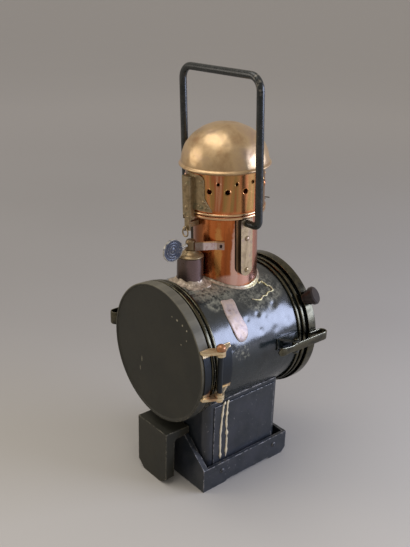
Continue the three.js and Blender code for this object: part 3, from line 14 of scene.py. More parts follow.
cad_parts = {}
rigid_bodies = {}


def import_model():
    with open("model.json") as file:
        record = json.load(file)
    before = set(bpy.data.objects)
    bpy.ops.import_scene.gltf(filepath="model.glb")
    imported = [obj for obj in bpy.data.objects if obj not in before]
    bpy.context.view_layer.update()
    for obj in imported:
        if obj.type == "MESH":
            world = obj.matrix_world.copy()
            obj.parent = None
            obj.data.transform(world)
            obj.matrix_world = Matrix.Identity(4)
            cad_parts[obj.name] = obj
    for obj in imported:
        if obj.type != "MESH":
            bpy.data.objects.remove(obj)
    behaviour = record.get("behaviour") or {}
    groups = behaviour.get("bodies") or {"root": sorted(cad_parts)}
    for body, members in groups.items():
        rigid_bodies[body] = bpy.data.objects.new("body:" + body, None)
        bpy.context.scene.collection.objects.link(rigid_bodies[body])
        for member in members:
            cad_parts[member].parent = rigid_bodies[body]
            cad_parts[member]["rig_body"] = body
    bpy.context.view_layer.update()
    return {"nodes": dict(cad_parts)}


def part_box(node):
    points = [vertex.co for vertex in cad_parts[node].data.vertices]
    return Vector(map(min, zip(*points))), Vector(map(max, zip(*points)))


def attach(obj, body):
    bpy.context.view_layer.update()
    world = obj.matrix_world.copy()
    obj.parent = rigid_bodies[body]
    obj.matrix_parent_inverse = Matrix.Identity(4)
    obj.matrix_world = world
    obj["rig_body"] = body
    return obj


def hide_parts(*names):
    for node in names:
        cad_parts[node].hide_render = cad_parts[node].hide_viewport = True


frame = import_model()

MM = 0.001
AXIS_Z, DRUM_R, DRUM_TOP = 181.0, 86.0, 267.0
STACK_Y, BAIL_Y, SPINDLE_Y, LEAN = 13.5, 5.5, -45.77, radians(3)
DISC_Y, DISC_Z = SPINDLE_Y - 27.5, 311.65

# %% [markdown]
# A finish is a material. Its masks and colours could be wired by hand in the shader editor, but a
# lamp with twenty finishes has hundreds of wires. Here one small class stands for a socket, so
# that a sum in Python adds the node that works it out, and a finish reads like a recipe.
# %% A socket that Python can calculate with
class Wire:
    """One output socket. Operators add Math, Vector Math or Mix nodes, by what flows in it."""

    def __init__(self, finish, socket):
        self.finish, self.socket = finish, socket

    def worked(self, operation, first, second):
        kinds = [v.socket.type for v in (first, second) if isinstance(v, Wire)]
        if "RGBA" in kinds:
            settings = {"data_type": "RGBA", "blend_type": operation}
            return self.finish.add("ShaderNodeMix", settings, {0: 1.0, 6: first, 7: second}, out=2)
        kind = "ShaderNodeVectorMath" if "VECTOR" in kinds else "ShaderNodeMath"
        return self.finish.add(kind, {"operation": operation}, {0: first, 1: second})

    def __add__(self, other): return self.worked("ADD", self, other)
    def __radd__(self, other): return self.worked("ADD", other, self)
    def __sub__(self, other): return self.worked("SUBTRACT", self, other)
    def __rsub__(self, other): return self.worked("SUBTRACT", other, self)
    def __mul__(self, other): return self.worked("MULTIPLY", self, other)
    def __rmul__(self, other): return self.worked("MULTIPLY", other, self)


def rgb(red, green, blue):
    """A colour as a paint chart gives it, 0 to 255, turned into the light values of the shader."""
    def light(v):
        return v / 12.92 if v <= 0.04045 else ((v + 0.055) / 1.055) ** 2.4
    return tuple(light(v / 255) for v in (red, green, blue)) + (1.0,)


# %% [markdown]
# Every finish is a Principled shader with masks behind it: noise for stains, a Bevel node for
# edges rubbed bright, and a bump for what is too fine to model. A value that is the same all over
# is set on the shader itself. Only what changes over the surface is wired to it.
# %% A finish with its masks
class Finish:
    """One material, named after its slot in the record."""

    def __init__(self, slot, **shader):
        self.slot = slot
        self.material = bpy.data.materials.new(slot)
        self.material.use_nodes = True
        self.tree = self.material.node_tree
        self.shader = self.tree.nodes["Principled BSDF"]
        for name, value in shader.items():
            socket = name.replace("_", " ").title().replace("Ior", "IOR")
            self.shader.inputs[socket].default_value = value
        self.place = self.add("ShaderNodeTexCoord", out="Object")

    def add(self, kind, settings=None, inputs=None, out=0):
        """One node: its settings first, then what its sockets hold or are wired to."""
        node = self.tree.nodes.new(kind)
        for name, value in (settings or {}).items():
            if name == "stops":
                ramp = node.color_ramp
                while len(ramp.elements) < len(value):
                    ramp.elements.new(0.5)
                for element, (position, colour) in zip(ramp.elements, value):
                    element.position, element.color = position, rgb(*colour)
            else:
                setattr(node, name, value)
        for name, value in (inputs or {}).items():
            if isinstance(value, Wire):
                self.tree.links.new(value.socket, node.inputs[name])
            else:
                node.inputs[name].default_value = value
        return Wire(self, node.outputs[out])

    def clouds(self, size, detail=4.0, rough=0.55, stretch=(1, 1, 1), warp=0.0):
        """Noise from 0 to 1 whose blots are about size millimetres across."""
        inputs = {"Vector": self.place * Vector(stretch), "Scale": 1 / (size * MM),
                  "Detail": detail, "Roughness": rough, "Distortion": warp}
        return self.add("ShaderNodeTexNoise", {}, inputs)

    def along(self, axis, source=None):
        """One coordinate of the place on the lamp, in millimetres."""
        inputs = {0: source or self.place}
        return self.add("ShaderNodeSeparateXYZ", {}, inputs, out="xyz".index(axis)) * (1 / MM)

    def most(self, *masks):
        """The strongest of several masks."""
        found = masks[0]
        for mask in masks[1:]:
            found = self.add("ShaderNodeMath", {"operation": "MAXIMUM"}, {0: found, 1: mask})
        return found

    def reach(self, spot, stretch=(1, 1, 1)):
        """Distance from a place on the lamp, in millimetres. A stretch of 0 leaves an axis out."""
        away = (self.place - Vector(spot) * MM) * Vector(stretch)
        length = self.add("ShaderNodeVectorMath", {"operation": "LENGTH"}, {0: away}, out="Value")
        return length * (1 / MM)

    def between(self, value, low, high):
        """A mask that rises smoothly from 0 at low to 1 at high."""
        inputs = {"Value": value, "From Min": low, "From Max": high}
        return self.add("ShaderNodeMapRange", {"interpolation_type": "SMOOTHSTEP"}, inputs)

    def above(self, low, high):
        """A mask that rises from 0 to 1 between two heights on the lamp."""
        return self.between(self.along("z"), low, high)

    def blots(self, size, low, high, *more, **warp):
        """A mask of scattered blots: noise of this size, cut off between low and high."""
        return self.between(self.clouds(size, *more, **warp), low, high)

    def mix(self, mask, first, second):
        inputs = {0: mask, 6: first, 7: second}
        return self.add("ShaderNodeMix", {"data_type": "RGBA"}, inputs, out=2)

    def blend(self, mask, first, second):
        """The same for two numbers."""
        return self.add("ShaderNodeMix", {}, {0: mask, 2: first, 3: second})

    def layered(self, base, *layers):
        """Lays colours over a base one after another, each through its own mask."""
        for mask, colour in layers:
            base = self.mix(mask, base, rgb(*colour))
        return base

    def ramp(self, value, *stops):
        return self.add("ShaderNodeValToRGB", {"stops": stops}, {"Fac": value})

    def edges(self, width, low=0.02, high=0.3):
        """1 where the metal turns a corner within width millimetres."""
        eased = self.add("ShaderNodeBevel", {"samples": 4}, {"Radius": width * MM})
        true = self.add("ShaderNodeNewGeometry", out="Normal")
        facing = self.add("ShaderNodeVectorMath", {"operation": "DOT_PRODUCT"},
                          {0: eased, 1: true}, out="Value")
        return self.between(1 - facing, low, high)

    def near(self, spot, radius, stretch=(1, 1, 1), ragged=0.0):
        """1 at a place on the lamp, in millimetres, fading out at radius."""
        reach = self.reach(spot, stretch)
        if ragged:
            reach = reach + (self.clouds(radius * 0.7) - 0.5) * ragged
        return 1 - self.between(reach, radius * 0.6, radius)

    def feed(self, height=None, **wires):
        """Wires what varies to the shader: colour, rough, metal, coat, and a bump height in mm."""
        names = {"colour": "Base Color", "rough": "Roughness", "metal": "Metallic",
                 "coat": "Coat Weight"}
        if height is not None:
            normal = self.add("ShaderNodeBump", {}, {"Height": height * MM, "Distance": 1.0})
            self.tree.links.new(normal.socket, self.shader.inputs["Normal"])
        for name, wire in wires.items():
            self.tree.links.new(wire.socket, self.shader.inputs[names[name]])
        return self


# %% [markdown]
# The lamp's iron and tinplate were painted by hand, many times over. Paint could be one dark
# colour, but then it looks like plastic. Real paint is uneven in tone, duller where dust sits,
# chipped to metal on its edges, and slightly wavy, so each of these is a mask of its own.
# The drum was varnished too, thickest on top, so it has a coat that fades out lower down.
# %% Painted finishes
DUST = (96, 90, 80)


def painted(slot, colour, shade, worn, gloss, dull, edge=0.9, wear=0.55, wave=0.02, chips=0.72,
            dust=0.2, marks=None, **shader):
    """Old paint over metal: two tones, rubbed edges, scattered chips and a faint brush wave."""
    finish = Finish(slot, **shader)
    base = finish.mix(finish.blots(38, 0.3, 0.7, 5, 0.6), rgb(*colour), rgb(*shade))
    grime = finish.blots(9, 0.45, 0.75, 6, 0.7, warp=0.4)
    base = finish.layered(base, (grime * dust, DUST))
    patches = finish.blots(6, 0.42, 0.6, 5, 0.65)
    speck = finish.blots(2.6, chips, chips + 0.04, 3, 0.5)
    bare = finish.most(finish.edges(edge) * patches * wear, speck * 0.5)
    if marks:
        bare = finish.most(bare, marks(finish))
    brushed = finish.clouds(14, 3, 0.5) * wave * 4 + finish.clouds(1.3, 2, 0.5) * wave
    if "Coat_Weight" in shader:
        finish.feed(coat=(0.5 + finish.above(180, 212) * 0.5) * (1 - bare * 0.5))
    return finish.feed(brushed - bare * 0.04, colour=finish.layered(base, (bare, worn)),
                       rough=finish.blend(grime, gloss, dull) + bare * 0.1, metal=bare * 0.6)


# %% [markdown]
# Some wear sits at a known place: a scratch and a row of chips on the blank door, the metal of its
# rim, brighter on its upper part as a painted highlight, a rubbed corner of the bail, and solder
# smeared on the drum. Each is a mask round a place.
# %% Marks at known places
def door_marks(finish):
    chips = [((30, -97, 242), 0.9), ((40, -97, 241), 1.7), ((50, -97, 238), 1.3),
             ((58, -97, 234), 1.4), ((48, -97, 212), 1.0), ((58, -97, 221), 1.0)]
    scratch = [((-32.2, -97, 159), 1.5), ((-35.8, -97, 144.5), 1.3)]
    worn = [finish.near(spot, radius, ragged=3) for spot, radius in chips]
    worn += [finish.near(spot, radius, (1, 1, 0.3), 2.5) * 0.4 for spot, radius in scratch]
    reach = finish.reach((0, 0, AXIS_Z), (1, 0, 1))
    # The rim is worn to bare metal, and kept to its upper part it is also a painted highlight.
    rim = finish.between(reach, 88.2, 89.4) * (1 - finish.between(reach, 90.4, 91))
    rubbed = finish.clouds(22, 4, 0.7, (1, 0.1, 1)) * 0.7
    return finish.most(*worn, rim * finish.above(120, 215) * rubbed)


def drum_marks(finish):
    near, blots = finish.near, finish.blots
    smear = near((14, -34, 264), 44, ragged=24) * blots(6, 0.36, 0.6, 6, 0.75)
    beside = near((44, -46, 254), 18, ragged=16) * blots(6, 0.38, 0.62, 5)
    under = near((82, -30, 200), 17, ragged=14) * blots(4, 0.5, 0.66, 5, 0.7)
    veil = near((50, 24, 252), 36, (1, 0.8, 1), 20) * blots(8, 0.42, 0.7, 6, 0.8)
    return finish.most(smear * 0.9, beside * 0.7, under * 0.55, veil * 0.8)


def bail_marks(finish):
    return finish.near((62, -8, 512), 18, ragged=14) * finish.blots(4, 0.5, 0.66, 5) * 0.55


def disc_marks(finish):
    reach = finish.reach((0, DISC_Y, DISC_Z), (0, 1, 1))
    return finish.between(reach, 13.0, 13.8) * finish.blots(5, 0.35, 0.55, 3) * 0.8


finishes = {}
for finish in (
    painted("slate_paint", (29, 34, 38), (46, 48, 54), (186, 182, 180), 0.3, 0.55, 2.4, 1.5,
            chips=0.7, dust=0.16),
    painted("olive_paint", (46, 44, 35), (39, 38, 31), (160, 152, 132), 0.5, 0.62, 2.6, 1.1,
            wave=0.006, dust=0.05, chips=0.76, marks=door_marks, Specular_IOR_Level=0.3),
    painted("drum_paint", (18, 25, 23), (28, 34, 35), (168, 164, 144), 0.25, 0.45, wave=0.05,
            chips=0.76, dust=0.08, marks=drum_marks, Specular_IOR_Level=0.12, Coat_Weight=1.0,
            Coat_Roughness=0.2, Coat_IOR=1.7),
    painted("black_iron", (22, 26, 24), (34, 38, 38), (150, 142, 128), 0.25, 0.45, wear=0.4,
            marks=bail_marks),
    painted("disc_slate", (66, 72, 88), (44, 49, 62), (198, 190, 172), 0.25, 0.45, 1.4, 1.2,
            chips=0.64, marks=disc_marks),
    painted("pull_brown", (36, 17, 13), (24, 12, 11), (170, 130, 84), 0.3, 0.45, wear=0.6,
            dust=0.05),
    painted("flue_black", (52, 49, 46), (34, 31, 30), (90, 84, 78), 0.7, 0.85),
):
    finishes[finish.slot] = finish
print("painted:", sorted(finishes))

# %% [markdown]
# Copper, brass and bronze show their age in colour: they run from bright rubbed metal to brown,
# pink and green. A single metal colour would look like jewellery. The tones are laid out on a
# ramp that noise reads, stretched along the way the sheet was rolled, with roughness to match.
# %% Bare metal finishes
STAIN, GRAIN = (60, 46, 36), 0.02


def aged_metal(slot, tones, gloss, dull, size=24, stretch=(1, 1, 1), hammer=0.0, stain=0.4,
               edge=0.35, bright=(232, 205, 160), metal=1.0, places=None):
    """Bare metal with a patina ramp, dark stains, bright rubbed edges and hammer marks in mm."""
    finish = Finish(slot, Metallic=metal)
    steps = [(0.3 + 0.4 * i / (len(tones) - 1), tone) for i, tone in enumerate(tones)]
    base = finish.ramp(finish.clouds(size, 4, 0.6, stretch, warp=0.3), *steps)
    spots = finish.blots(size * 0.3, 0.55, 0.78, 6, 0.7)
    rubbed = finish.edges(0.8) * edge
    base = finish.layered(base, (spots * stain, STAIN), (rubbed, bright))
    if places:
        base = places(finish, base)
    height = finish.clouds(1.1, 3, 0.6, stretch) * GRAIN
    if hammer:
        height = height + finish.clouds(7.5, 1, 0.3) * hammer
    return finish.feed(height, colour=base, rough=finish.blend(spots, gloss, dull) - rubbed * 0.08)


def copper_reflections_and_bands(finish, base):
    """Painted reflections on the chimney as upright streaks: dark and brown bands, a gold highlight
    and pink highlights. Bands of noise on the gallery, and pale brass on the beads above it.
    """
    near, above, long = finish.near, finish.above, (1, 1, 0.13)
    base = finish.layered(
        # Painted reflections: a dark band, a gold highlight, a brown band and three pink
        # highlights.
        base, (near((-7, -29, 310), 15, long, 6) * 0.6, (84, 52, 34)),
        (near((23.8, -21.7, 305), 6, long, 4) * 0.75, (222, 160, 92)),
        (near((32.9, -12.7, 300), 6, long, 4) * 0.6, (150, 82, 44)),
        (near((37.5, -5.5, 290), 6.5, (1, 1, 0.1), 4) * 0.85, (236, 196, 180)),
        (near((37, 0, 268), 16, (0.5, 0.5, 1.6), 5) * 0.7, (224, 182, 168)),
        (near((30, 30, 300), 20, (1, 1, 0.2), 8) * 0.6, (214, 160, 142)))
    bands = finish.ramp(finish.clouds(17, 3, 0.6, (1, 1, 0.05)), (0.3, (190, 104, 70)),
                        (0.4, (216, 152, 98)), (0.48, (166, 140, 84)), (0.56, (180, 104, 68)),
                        (0.64, (220, 172, 136)), (0.72, (240, 208, 190)))
    base = finish.mix(above(358, 362) * 0.85, base, bands)
    bead = finish.between(finish.reach((0, 8.8, 0), (1, 1, 0)), 49.25, 49.9)
    return finish.layered(base, (bead * (1 - above(362, 366)) * 0.9, (226, 190, 148)))


def hinge_places(finish, base):
    """Between its lugs the hinge was painted over; the gland on the drum is browner."""
    above = finish.above
    outside = finish.between(finish.reach((0, 0, 0), (1, 0, 0)), 76, 78)
    return finish.layered(
        base, (above(160, 162) * (1 - above(208.5, 210)) * outside, (38, 42, 46)),
        (finish.near((92, -84, 158), 9, ragged=6) * 0.6, (150, 96, 62)),
        (above(217, 218) * outside, (168, 118, 82)), (above(290, 296) * 0.75, (122, 100, 68)))


def bracket_places(finish, base):
    """The folded sides of the bail's brackets get painted shade, dark bands with one pale band;
    their faces keep the pale tones.
    """
    normal = finish.add("ShaderNodeTexCoord", out="Normal")
    side = finish.add("ShaderNodeMath", {"operation": "ABSOLUTE"},
                      {0: finish.along("x", normal) * MM})
    across = finish.reach((0, 0, 0), (1, 0, 0))
    # Painted shade on the folded sides, in bands across the bracket's width.
    side_shading = finish.ramp((across - 36) * (1 / 15), (0.2, (62, 50, 38)), (0.32, (190, 162, 128)),
                       (0.48, (84, 70, 52)), (0.66, (44, 36, 28)), (0.86, (74, 60, 46)))
    return finish.mix(1 - finish.between(side, 0.35, 0.7), base, side_shading)


def catch_places(finish, base):
    """The catch has a painted highlight on its upper edge, a browner tip, and a small dark spot
    of painted shade that stands for a slot in it.
    """
    return finish.layered(
        # A painted highlight along the top, a browner tip, a darker end by the spindle, and the
        # painted shade of a slot.
        base, (finish.above(317.6, 318.8) * 0.8, (206, 160, 96)),
        (finish.between(finish.along("x"), 23, 24) * 0.6, (150, 108, 74)),
        ((1 - finish.between(finish.along("x"), 13, 14.5)) * 0.75, (92, 74, 52)),
        (finish.near((27.5, -20.5, 314), 2.2, (1, 1, 0.7), 1), (40, 30, 28)))


def spindle_highlight(finish, base):
    # A painted highlight: a soft lilac sheen on the right of the spindle's tube.
    painted_highlight = finish.near((14.5, SPINDLE_Y - 6, 286), 11, (1, 1, 0.25), 5)
    return finish.layered(base, (painted_highlight * 0.7, (126, 104, 104)))


def dome_places(finish, base):
    """The same bronze on the spindle and its head is made darker."""
    return finish.layered(base, ((1 - finish.above(322, 326)) * 0.8, (96, 80, 56)))


def solder_places(finish, base):
    """Grey and pitted near the chimney, with bright flecks, and cream where it dripped."""
    drips = (1 - finish.above(122, 130)) * 0.85
    pitted = finish.ramp(finish.clouds(5, 6, 0.75), (0.32, (92, 84, 70)), (0.46, (160, 140, 118)),
                         (0.58, (192, 172, 148)), (0.7, (232, 218, 184)))
    flecks = finish.near((52, 30, 250), 27, ragged=4) * finish.blots(3, 0.36, 0.5, 3)
    base = finish.layered(base, (drips, (236, 220, 184)))
    base = finish.mix(finish.above(252, 257), base, pitted)
    return finish.layered(base, (flecks, (232, 220, 166)))


for finish in (
    aged_metal("aged_iron", [(62, 60, 48), (92, 88, 72), (54, 54, 50)], 0.26, 0.48, edge=0.75,
               bright=(206, 200, 172), size=16),
    aged_metal("hinge_brass", [(188, 146, 98), (222, 200, 158), (206, 184, 148)], 0.36, 0.6,
               size=7, metal=0.65, hammer=0.25, places=hinge_places),
    aged_metal("pale_copper", [(156, 132, 116), (188, 166, 150), (170, 152, 146), (134, 108, 92)],
               0.4, 0.58, size=9, metal=0.3, hammer=0.35, stain=0.5, places=solder_places),
    aged_metal("copper", [(158, 84, 46), (204, 116, 62), (216, 138, 88), (176, 98, 58)], 0.24,
               0.42, size=22, stretch=(1, 1, 0.1), stain=0.25, places=copper_reflections_and_bands),
    aged_metal("dome_bronze", [(178, 142, 102), (206, 176, 134), (192, 162, 134)], 0.38, 0.5,
               size=30, hammer=0.3, stain=0.2, metal=0.8, places=dome_places),
    aged_metal("dark_bronze", [(122, 104, 74), (160, 138, 104), (118, 112, 86)], 0.34, 0.55,
               size=9, metal=0.7, edge=0.9, hammer=0.4, bright=(222, 208, 170)),
    aged_metal("bracket_brass", [(156, 134, 104), (186, 164, 128), (162, 138, 122)], 0.3, 0.5,
               size=9, metal=0.7, hammer=0.2, places=bracket_places),
    aged_metal("spindle_brown", [(84, 66, 50), (96, 82, 78), (78, 60, 48)], 0.24, 0.42, size=14,
               stretch=(1, 1, 0.15), metal=0.8, places=spindle_highlight),
    aged_metal("spring_steel", [(204, 176, 176), (222, 204, 200), (182, 150, 148)], 0.24, 0.42,
               size=8, metal=0.8, places=catch_places),
    aged_metal("reflector_tin", [(196, 198, 196), (214, 214, 208), (180, 180, 176)], 0.08, 0.2,
               stain=0.1),
    aged_metal("font_tin", [(120, 122, 120), (142, 142, 136), (104, 106, 104)], 0.4, 0.6, size=18),
):
    finishes[finish.slot] = finish

# %% [markdown]
# The glass could be a mirror-like shell, but blown and pressed glass has faint ripples and a film
# of dust. Transmission stays one number on the shader. The wick is a woven cotton ribbon, whose
# rows come from a wave texture.
# %% Glass and wick
for slot, colour in (("clear_glass", (0.93, 0.96, 0.95, 1)), ("red_glass", (0.62, 0.02, 0.015, 1))):
    glass = Finish(slot, Transmission_Weight=1.0, IOR=1.48)
    film = glass.blots(16, 0.45, 0.8, 4, 0.6)
    finishes[slot] = glass.feed(glass.clouds(18, 2, 0.4) * 0.08, rough=0.04 + film * 0.12,
                                colour=glass.mix(film * 0.2, colour, rgb(190, 184, 170)))
cotton = Finish("wick_cotton", Sheen_Weight=0.3)
weave = cotton.add("ShaderNodeTexWave", {"bands_direction": "Z"},
                   {"Vector": cotton.place, "Scale": 160.0, "Distortion": 1.5}, out=1)
threads = cotton.mix(weave, rgb(206, 192, 160), rgb(228, 216, 190))
finishes["wick_cotton"] = cotton.feed(weave * 0.25, colour=threads, rough=0.85 + weave * 0.1)
print("finishes:", len(finishes))

# %% [markdown]
# Most of the lamp is round, so most of its pieces are profiles turned on an axis, as a spinner
# or tinsmith makes them. Blender's Screw modifier could do it, but turning the profile in code
# gives rows of known points, which can then be dented or holed.
# %% Shapes as lists of corners and faces
SPINS = {"x": lambda c, r, t, a: (a, c[0] + r * cos(t), c[1] + r * sin(t)),
         "y": lambda c, r, t, a: (c[0] + r * cos(t), a, c[1] + r * sin(t)),
         "z": lambda c, r, t, a: (c[0] + r * cos(t), c[1] + r * sin(t), a)}


def turned(axis, centre, profile, steps=144):
    """Turns (radius, along) points round an axis. One that keeps off the axis closes on itself."""
    corners, rows, faces = [], [], []
    for radius, along in profile:
        count = steps if radius > 0 else 1
        rows.append([len(corners) + i for i in range(count)])
        corners += [SPINS[axis](centre, radius, tau * i / steps, along) for i in range(count)]
    pairs = list(zip(rows, rows[1:]))
    if profile[0][0] > 0:
        pairs.append((rows[-1], rows[0]))
    for low, high in pairs:
        for i in range(steps):
            j = i + 1
            ring = [low[i % len(low)], low[j % len(low)], high[j % len(high)], high[i % len(high)]]
            ring = list(dict.fromkeys(ring))
            if len(ring) > 2:
                faces.append(ring)
    return corners, faces


def round_drum(profile, steps=200):
    return turned("y", (0, AXIS_Z), profile, steps)


def upright(centre_y, profile, steps=144):
    return turned("z", (0, centre_y), profile, steps)


def eased(profile, radius, steps=3):
    """Rounds the corners of a profile by up to radius, keeping points that lie on the axis."""
    count, closed, out = len(profile), profile[0][0] > 0, []
    for i, spot in enumerate(profile):
        if not closed and i in (0, count - 1):
            out.append(spot)
            continue
        spot, before, after = Vector(spot), Vector(profile[i - 1]), Vector(profile[(i + 1) % count])
        first = spot + (before - spot).normalized() * min(radius, (before - spot).length * 0.45)
        last = spot + (after - spot).normalized() * min(radius, (after - spot).length * 0.45)
        for k in range(steps + 1):
            share = k / steps
            bent = first.lerp(spot, share).lerp(spot.lerp(last, share), share)
            out.append((bent.x, bent.y))
    return out


def finer(profile, length):
    """Adds points so that no stretch of a profile is longer than length."""
    closed, out = profile[0][0] > 0, []
    ends = profile[1:] + ([profile[0]] if closed else [])
    for (r0, a0), (r1, a1) in zip(profile, ends):
        parts = max(1, round(hypot(r1 - r0, a1 - a0) / length))
        out += [(r0 + (r1 - r0) * k / parts, a0 + (a1 - a0) * k / parts) for k in range(parts)]
    return out if closed else out + [profile[-1]]


def skin(rows, across, closed=False, caps=False):
    """Faces between neighbouring rows of corners. Closed joins the last row to the first."""
    faces = []
    for i in range(rows if closed else rows - 1):
        j = (i + 1) % rows
        for k in range(across):
            m = (k + 1) % across
            faces.append((i * across + k, i * across + m, j * across + m, j * across + k))
    if caps:
        faces.append(tuple(range(across)))
        faces.append(tuple((rows - 1) * across + k for k in reversed(range(across))))
    return faces


def swept(path, radius, up, sides=16, closed=False):
    """A round bar along a path. The radius is a number, or a function of the share along it."""
    corners, count = [], len(path)
    path = [Vector(p) for p in path]
    for i, spot in enumerate(path):
        before = path[i - 1] if closed or i else spot
        after = path[(i + 1) % count] if closed or i < count - 1 else spot
        side = (after - before).normalized().cross(Vector(up)).normalized()
        over = side.cross((after - before).normalized())
        size = radius(i / count) if callable(radius) else radius
        for k in range(sides):
            turn = tau * k / sides
            corners.append(spot + side * (size * cos(turn)) + over * (size * sin(turn)))
    return corners, skin(count, sides, closed, not closed)


def joined(*shapes):
    corners, faces = [], []
    for more_corners, more_faces in shapes:
        start = len(corners)
        corners += list(more_corners)
        faces += [tuple(start + i for i in face) for face in more_faces]
    return corners, faces


washer = [(2, 0), (3, 0), (3, 1), (2, 1)]
print("a washer of", len(washer), "points turns into", len(upright(0, washer)[1]), "faces")

# %% [markdown]
# A shape becomes a piece when it gets a mesh, a finish and a body to move with. Where it stands
# for a solid of the frame, the frame hides that solid and keeps it for contact. Smooth shading
# with sharp edges past an angle keeps sheet metal crisp and round work round.
# Chimney, hood and bail lean 3 degrees forwards, so their shapes are made upright, then leaned.
# %% From shape to piece
def linked(name, data):
    """A new object in the scene, for a mesh, a light or a camera."""
    thing = bpy.data.objects.new(name, data)
    bpy.context.scene.collection.objects.link(thing)
    return thing


def mesh_of(name, shape):
    """A mesh in metres from a shape in millimetres, with its faces turned outwards."""
    mesh = bpy.data.meshes.new(name)
    mesh.from_pydata([Vector(c) * MM for c in shape[0]], [], shape[1])
    work = bmesh.new()
    work.from_mesh(mesh)
    bmesh.ops.recalc_face_normals(work, faces=work.faces)
    work.to_mesh(mesh)
    work.free()
    return mesh


def leaned(spot):
    """Turns a corner forwards about the middle of the chimney's foot."""
    away = spot - Vector((0, STACK_Y, DRUM_TOP))
    return Vector((away.x, STACK_Y + away.y * cos(LEAN) - away.z * sin(LEAN),
                   DRUM_TOP + away.y * sin(LEAN) + away.z * cos(LEAN)))


def finished(piece, slot, body, nodes=(), sharp=38):
    for face in piece.data.polygons:
        face.use_smooth = True
    piece.data.set_sharp_from_angle(angle=radians(sharp))
    piece.data.materials.clear()
    piece.data.materials.append(finishes[slot].material)
    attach(piece, body)
    if nodes:
        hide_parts(*nodes)
    return piece


def made(name, shape, slot, body="lamp", nodes=(), field=None, sharp=38, lean=False):
    """A new piece from a shape; field moves each corner by a vector."""
    corners, faces = shape
    if field:
        corners = [Vector(c) + field(Vector(c)) for c in corners]
    if lean:
        corners = [leaned(Vector(c)) for c in corners]
    return finished(linked(name, mesh_of(name, (corners, faces))), slot, body, nodes, sharp)


def stands_for(node, shape, slot, field=None, sharp=38, lean=False):
    """A finer piece in the place of one solid, on the same body."""
    body = frame["nodes"][node]["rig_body"]
    return made(node + "_fine", shape, slot, body, [node], field, sharp, lean)


def eased_copy(node, slot, ease, sharp=38):
    """The solid's own shape with its edges rounded, as folded, filed or cast metal has them."""
    work = bmesh.new()
    work.from_mesh(frame["nodes"][node].data)
    bmesh.ops.remove_doubles(work, verts=work.verts, dist=1e-6)
    bmesh.ops.dissolve_limit(work, angle_limit=radians(1), verts=work.verts, edges=work.edges)
    mesh = bpy.data.meshes.new(node + "_eased")
    work.to_mesh(mesh)
    work.free()
    piece = linked(node + "_eased", mesh)
    finished(piece, slot, frame["nodes"][node]["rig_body"], [node], sharp)
    bevel = piece.modifiers.new("ease", "BEVEL")
    bevel.width, bevel.segments = ease * MM, 2
    bevel.limit_method, bevel.angle_limit = "ANGLE", radians(sharp)
    bevel.harden_normals = True


def told(*pieces):
    print(", ".join(f"{piece.name}: {len(piece.data.polygons)} faces" for piece in pieces))


# %% [markdown]
# Old sheet metal is never true. Dents could be sculpted, but a field of noise gives every run of
# the script the same ones. Its waves push the drum inwards only. Each pictured dent has a place,
# a radius and a depth, and the two with a negative depth are low lumps, clear of the rings.
# %% Dents and waves
def clouds(spot, size, seed):
    """Smooth noise from -1 to 1 with lumps of about size millimetres."""
    return noise.noise(spot / size + Vector((seed, seed * 1.7, -seed)))


DENTS = [((65.9, 39, 236), 6, 0.7), ((69.8, 7, 231), 5, 0.6), ((71.2, -12, 229), 5, 0.5),
         ((78.4, 52, 216), 7, 0.7), ((79.7, 6, 213), 6, 0.7), ((85.5, -30, 190), 8, 0.6),
         ((86, 53, 180), 9, 0.6), ((83, -46, 204), 7, 0.6), ((74, 24, 224), 8, -0.2),
         ((76, 40, 221), 7, -0.2), ((81, 30, 209), 9, 0.4), ((73, 17, 226.5), 4, 0.4),
         ((75, 26, 223), 4, 0.4)]


def dented(spot):
    """Moves the drum's corners towards its axis, away from the mouths: waves, then dents."""
    out = Vector((spot.x, 0, spot.z - AXIS_Z))
    middle = max(0.0, 1 - (spot.y / 70) ** 8)
    depth = 0.9 * max(0.0, clouds(spot, 26, 3.1) * 0.6 + clouds(spot, 11, 8.2) * 0.25 + 0.35)
    for place, radius, deep in DENTS:
        depth += deep * exp(-((spot - Vector(place)).length / radius * 1.6) ** 2)
    return -out.normalized() * depth * middle


print("dent at the first place, mm:", round(dented(Vector(DENTS[0][0])).length, 2))

# %% [markdown]
# The drum is a rolled and soldered tube. It is turned as a fine grid, dented, and then its three
# openings are cut by a Boolean, all hidden under the well, the chimney and the spindle's tube.
# %% Drum, its rings and both doors
DRUM_Y, DRUM_IN, RING_IN = (-94.0, 91.5), 84.5, 86.3
LENS_R, LENS_FACE, LENS_RISE = 64.8, 93.9, 8


def cut_by(piece, *shapes):
    """Cuts shapes out of a piece and keeps the result as its mesh."""
    for shape in shapes:
        cutter = linked("cutter", mesh_of("cutter", shape))
        modifier = piece.modifiers.new("cut", "BOOLEAN")
        modifier.operation, modifier.object, modifier.solver = "DIFFERENCE", cutter, "EXACT"
        bpy.context.view_layer.update()
        graph = bpy.context.evaluated_depsgraph_get()
        result = bpy.data.meshes.new_from_object(piece.evaluated_get(graph))
        piece.modifiers.clear()
        piece.data = result
        bpy.data.objects.remove(cutter)


def block(x0, x1, y0, y1, z0, z1):
    corners = [(x, y, z) for x in (x0, x1) for y in (y0, y1) for z in (z0, z1)]
    faces = [(0, 1, 3, 2), (4, 6, 7, 5), (0, 4, 5, 1), (2, 3, 7, 6), (0, 2, 6, 4), (1, 5, 7, 3)]
    return corners, faces


def bore(centre_y, radius, steps):
    return upright(centre_y, [(0, 200), (radius, 200), (radius, 300), (0, 300)], steps)


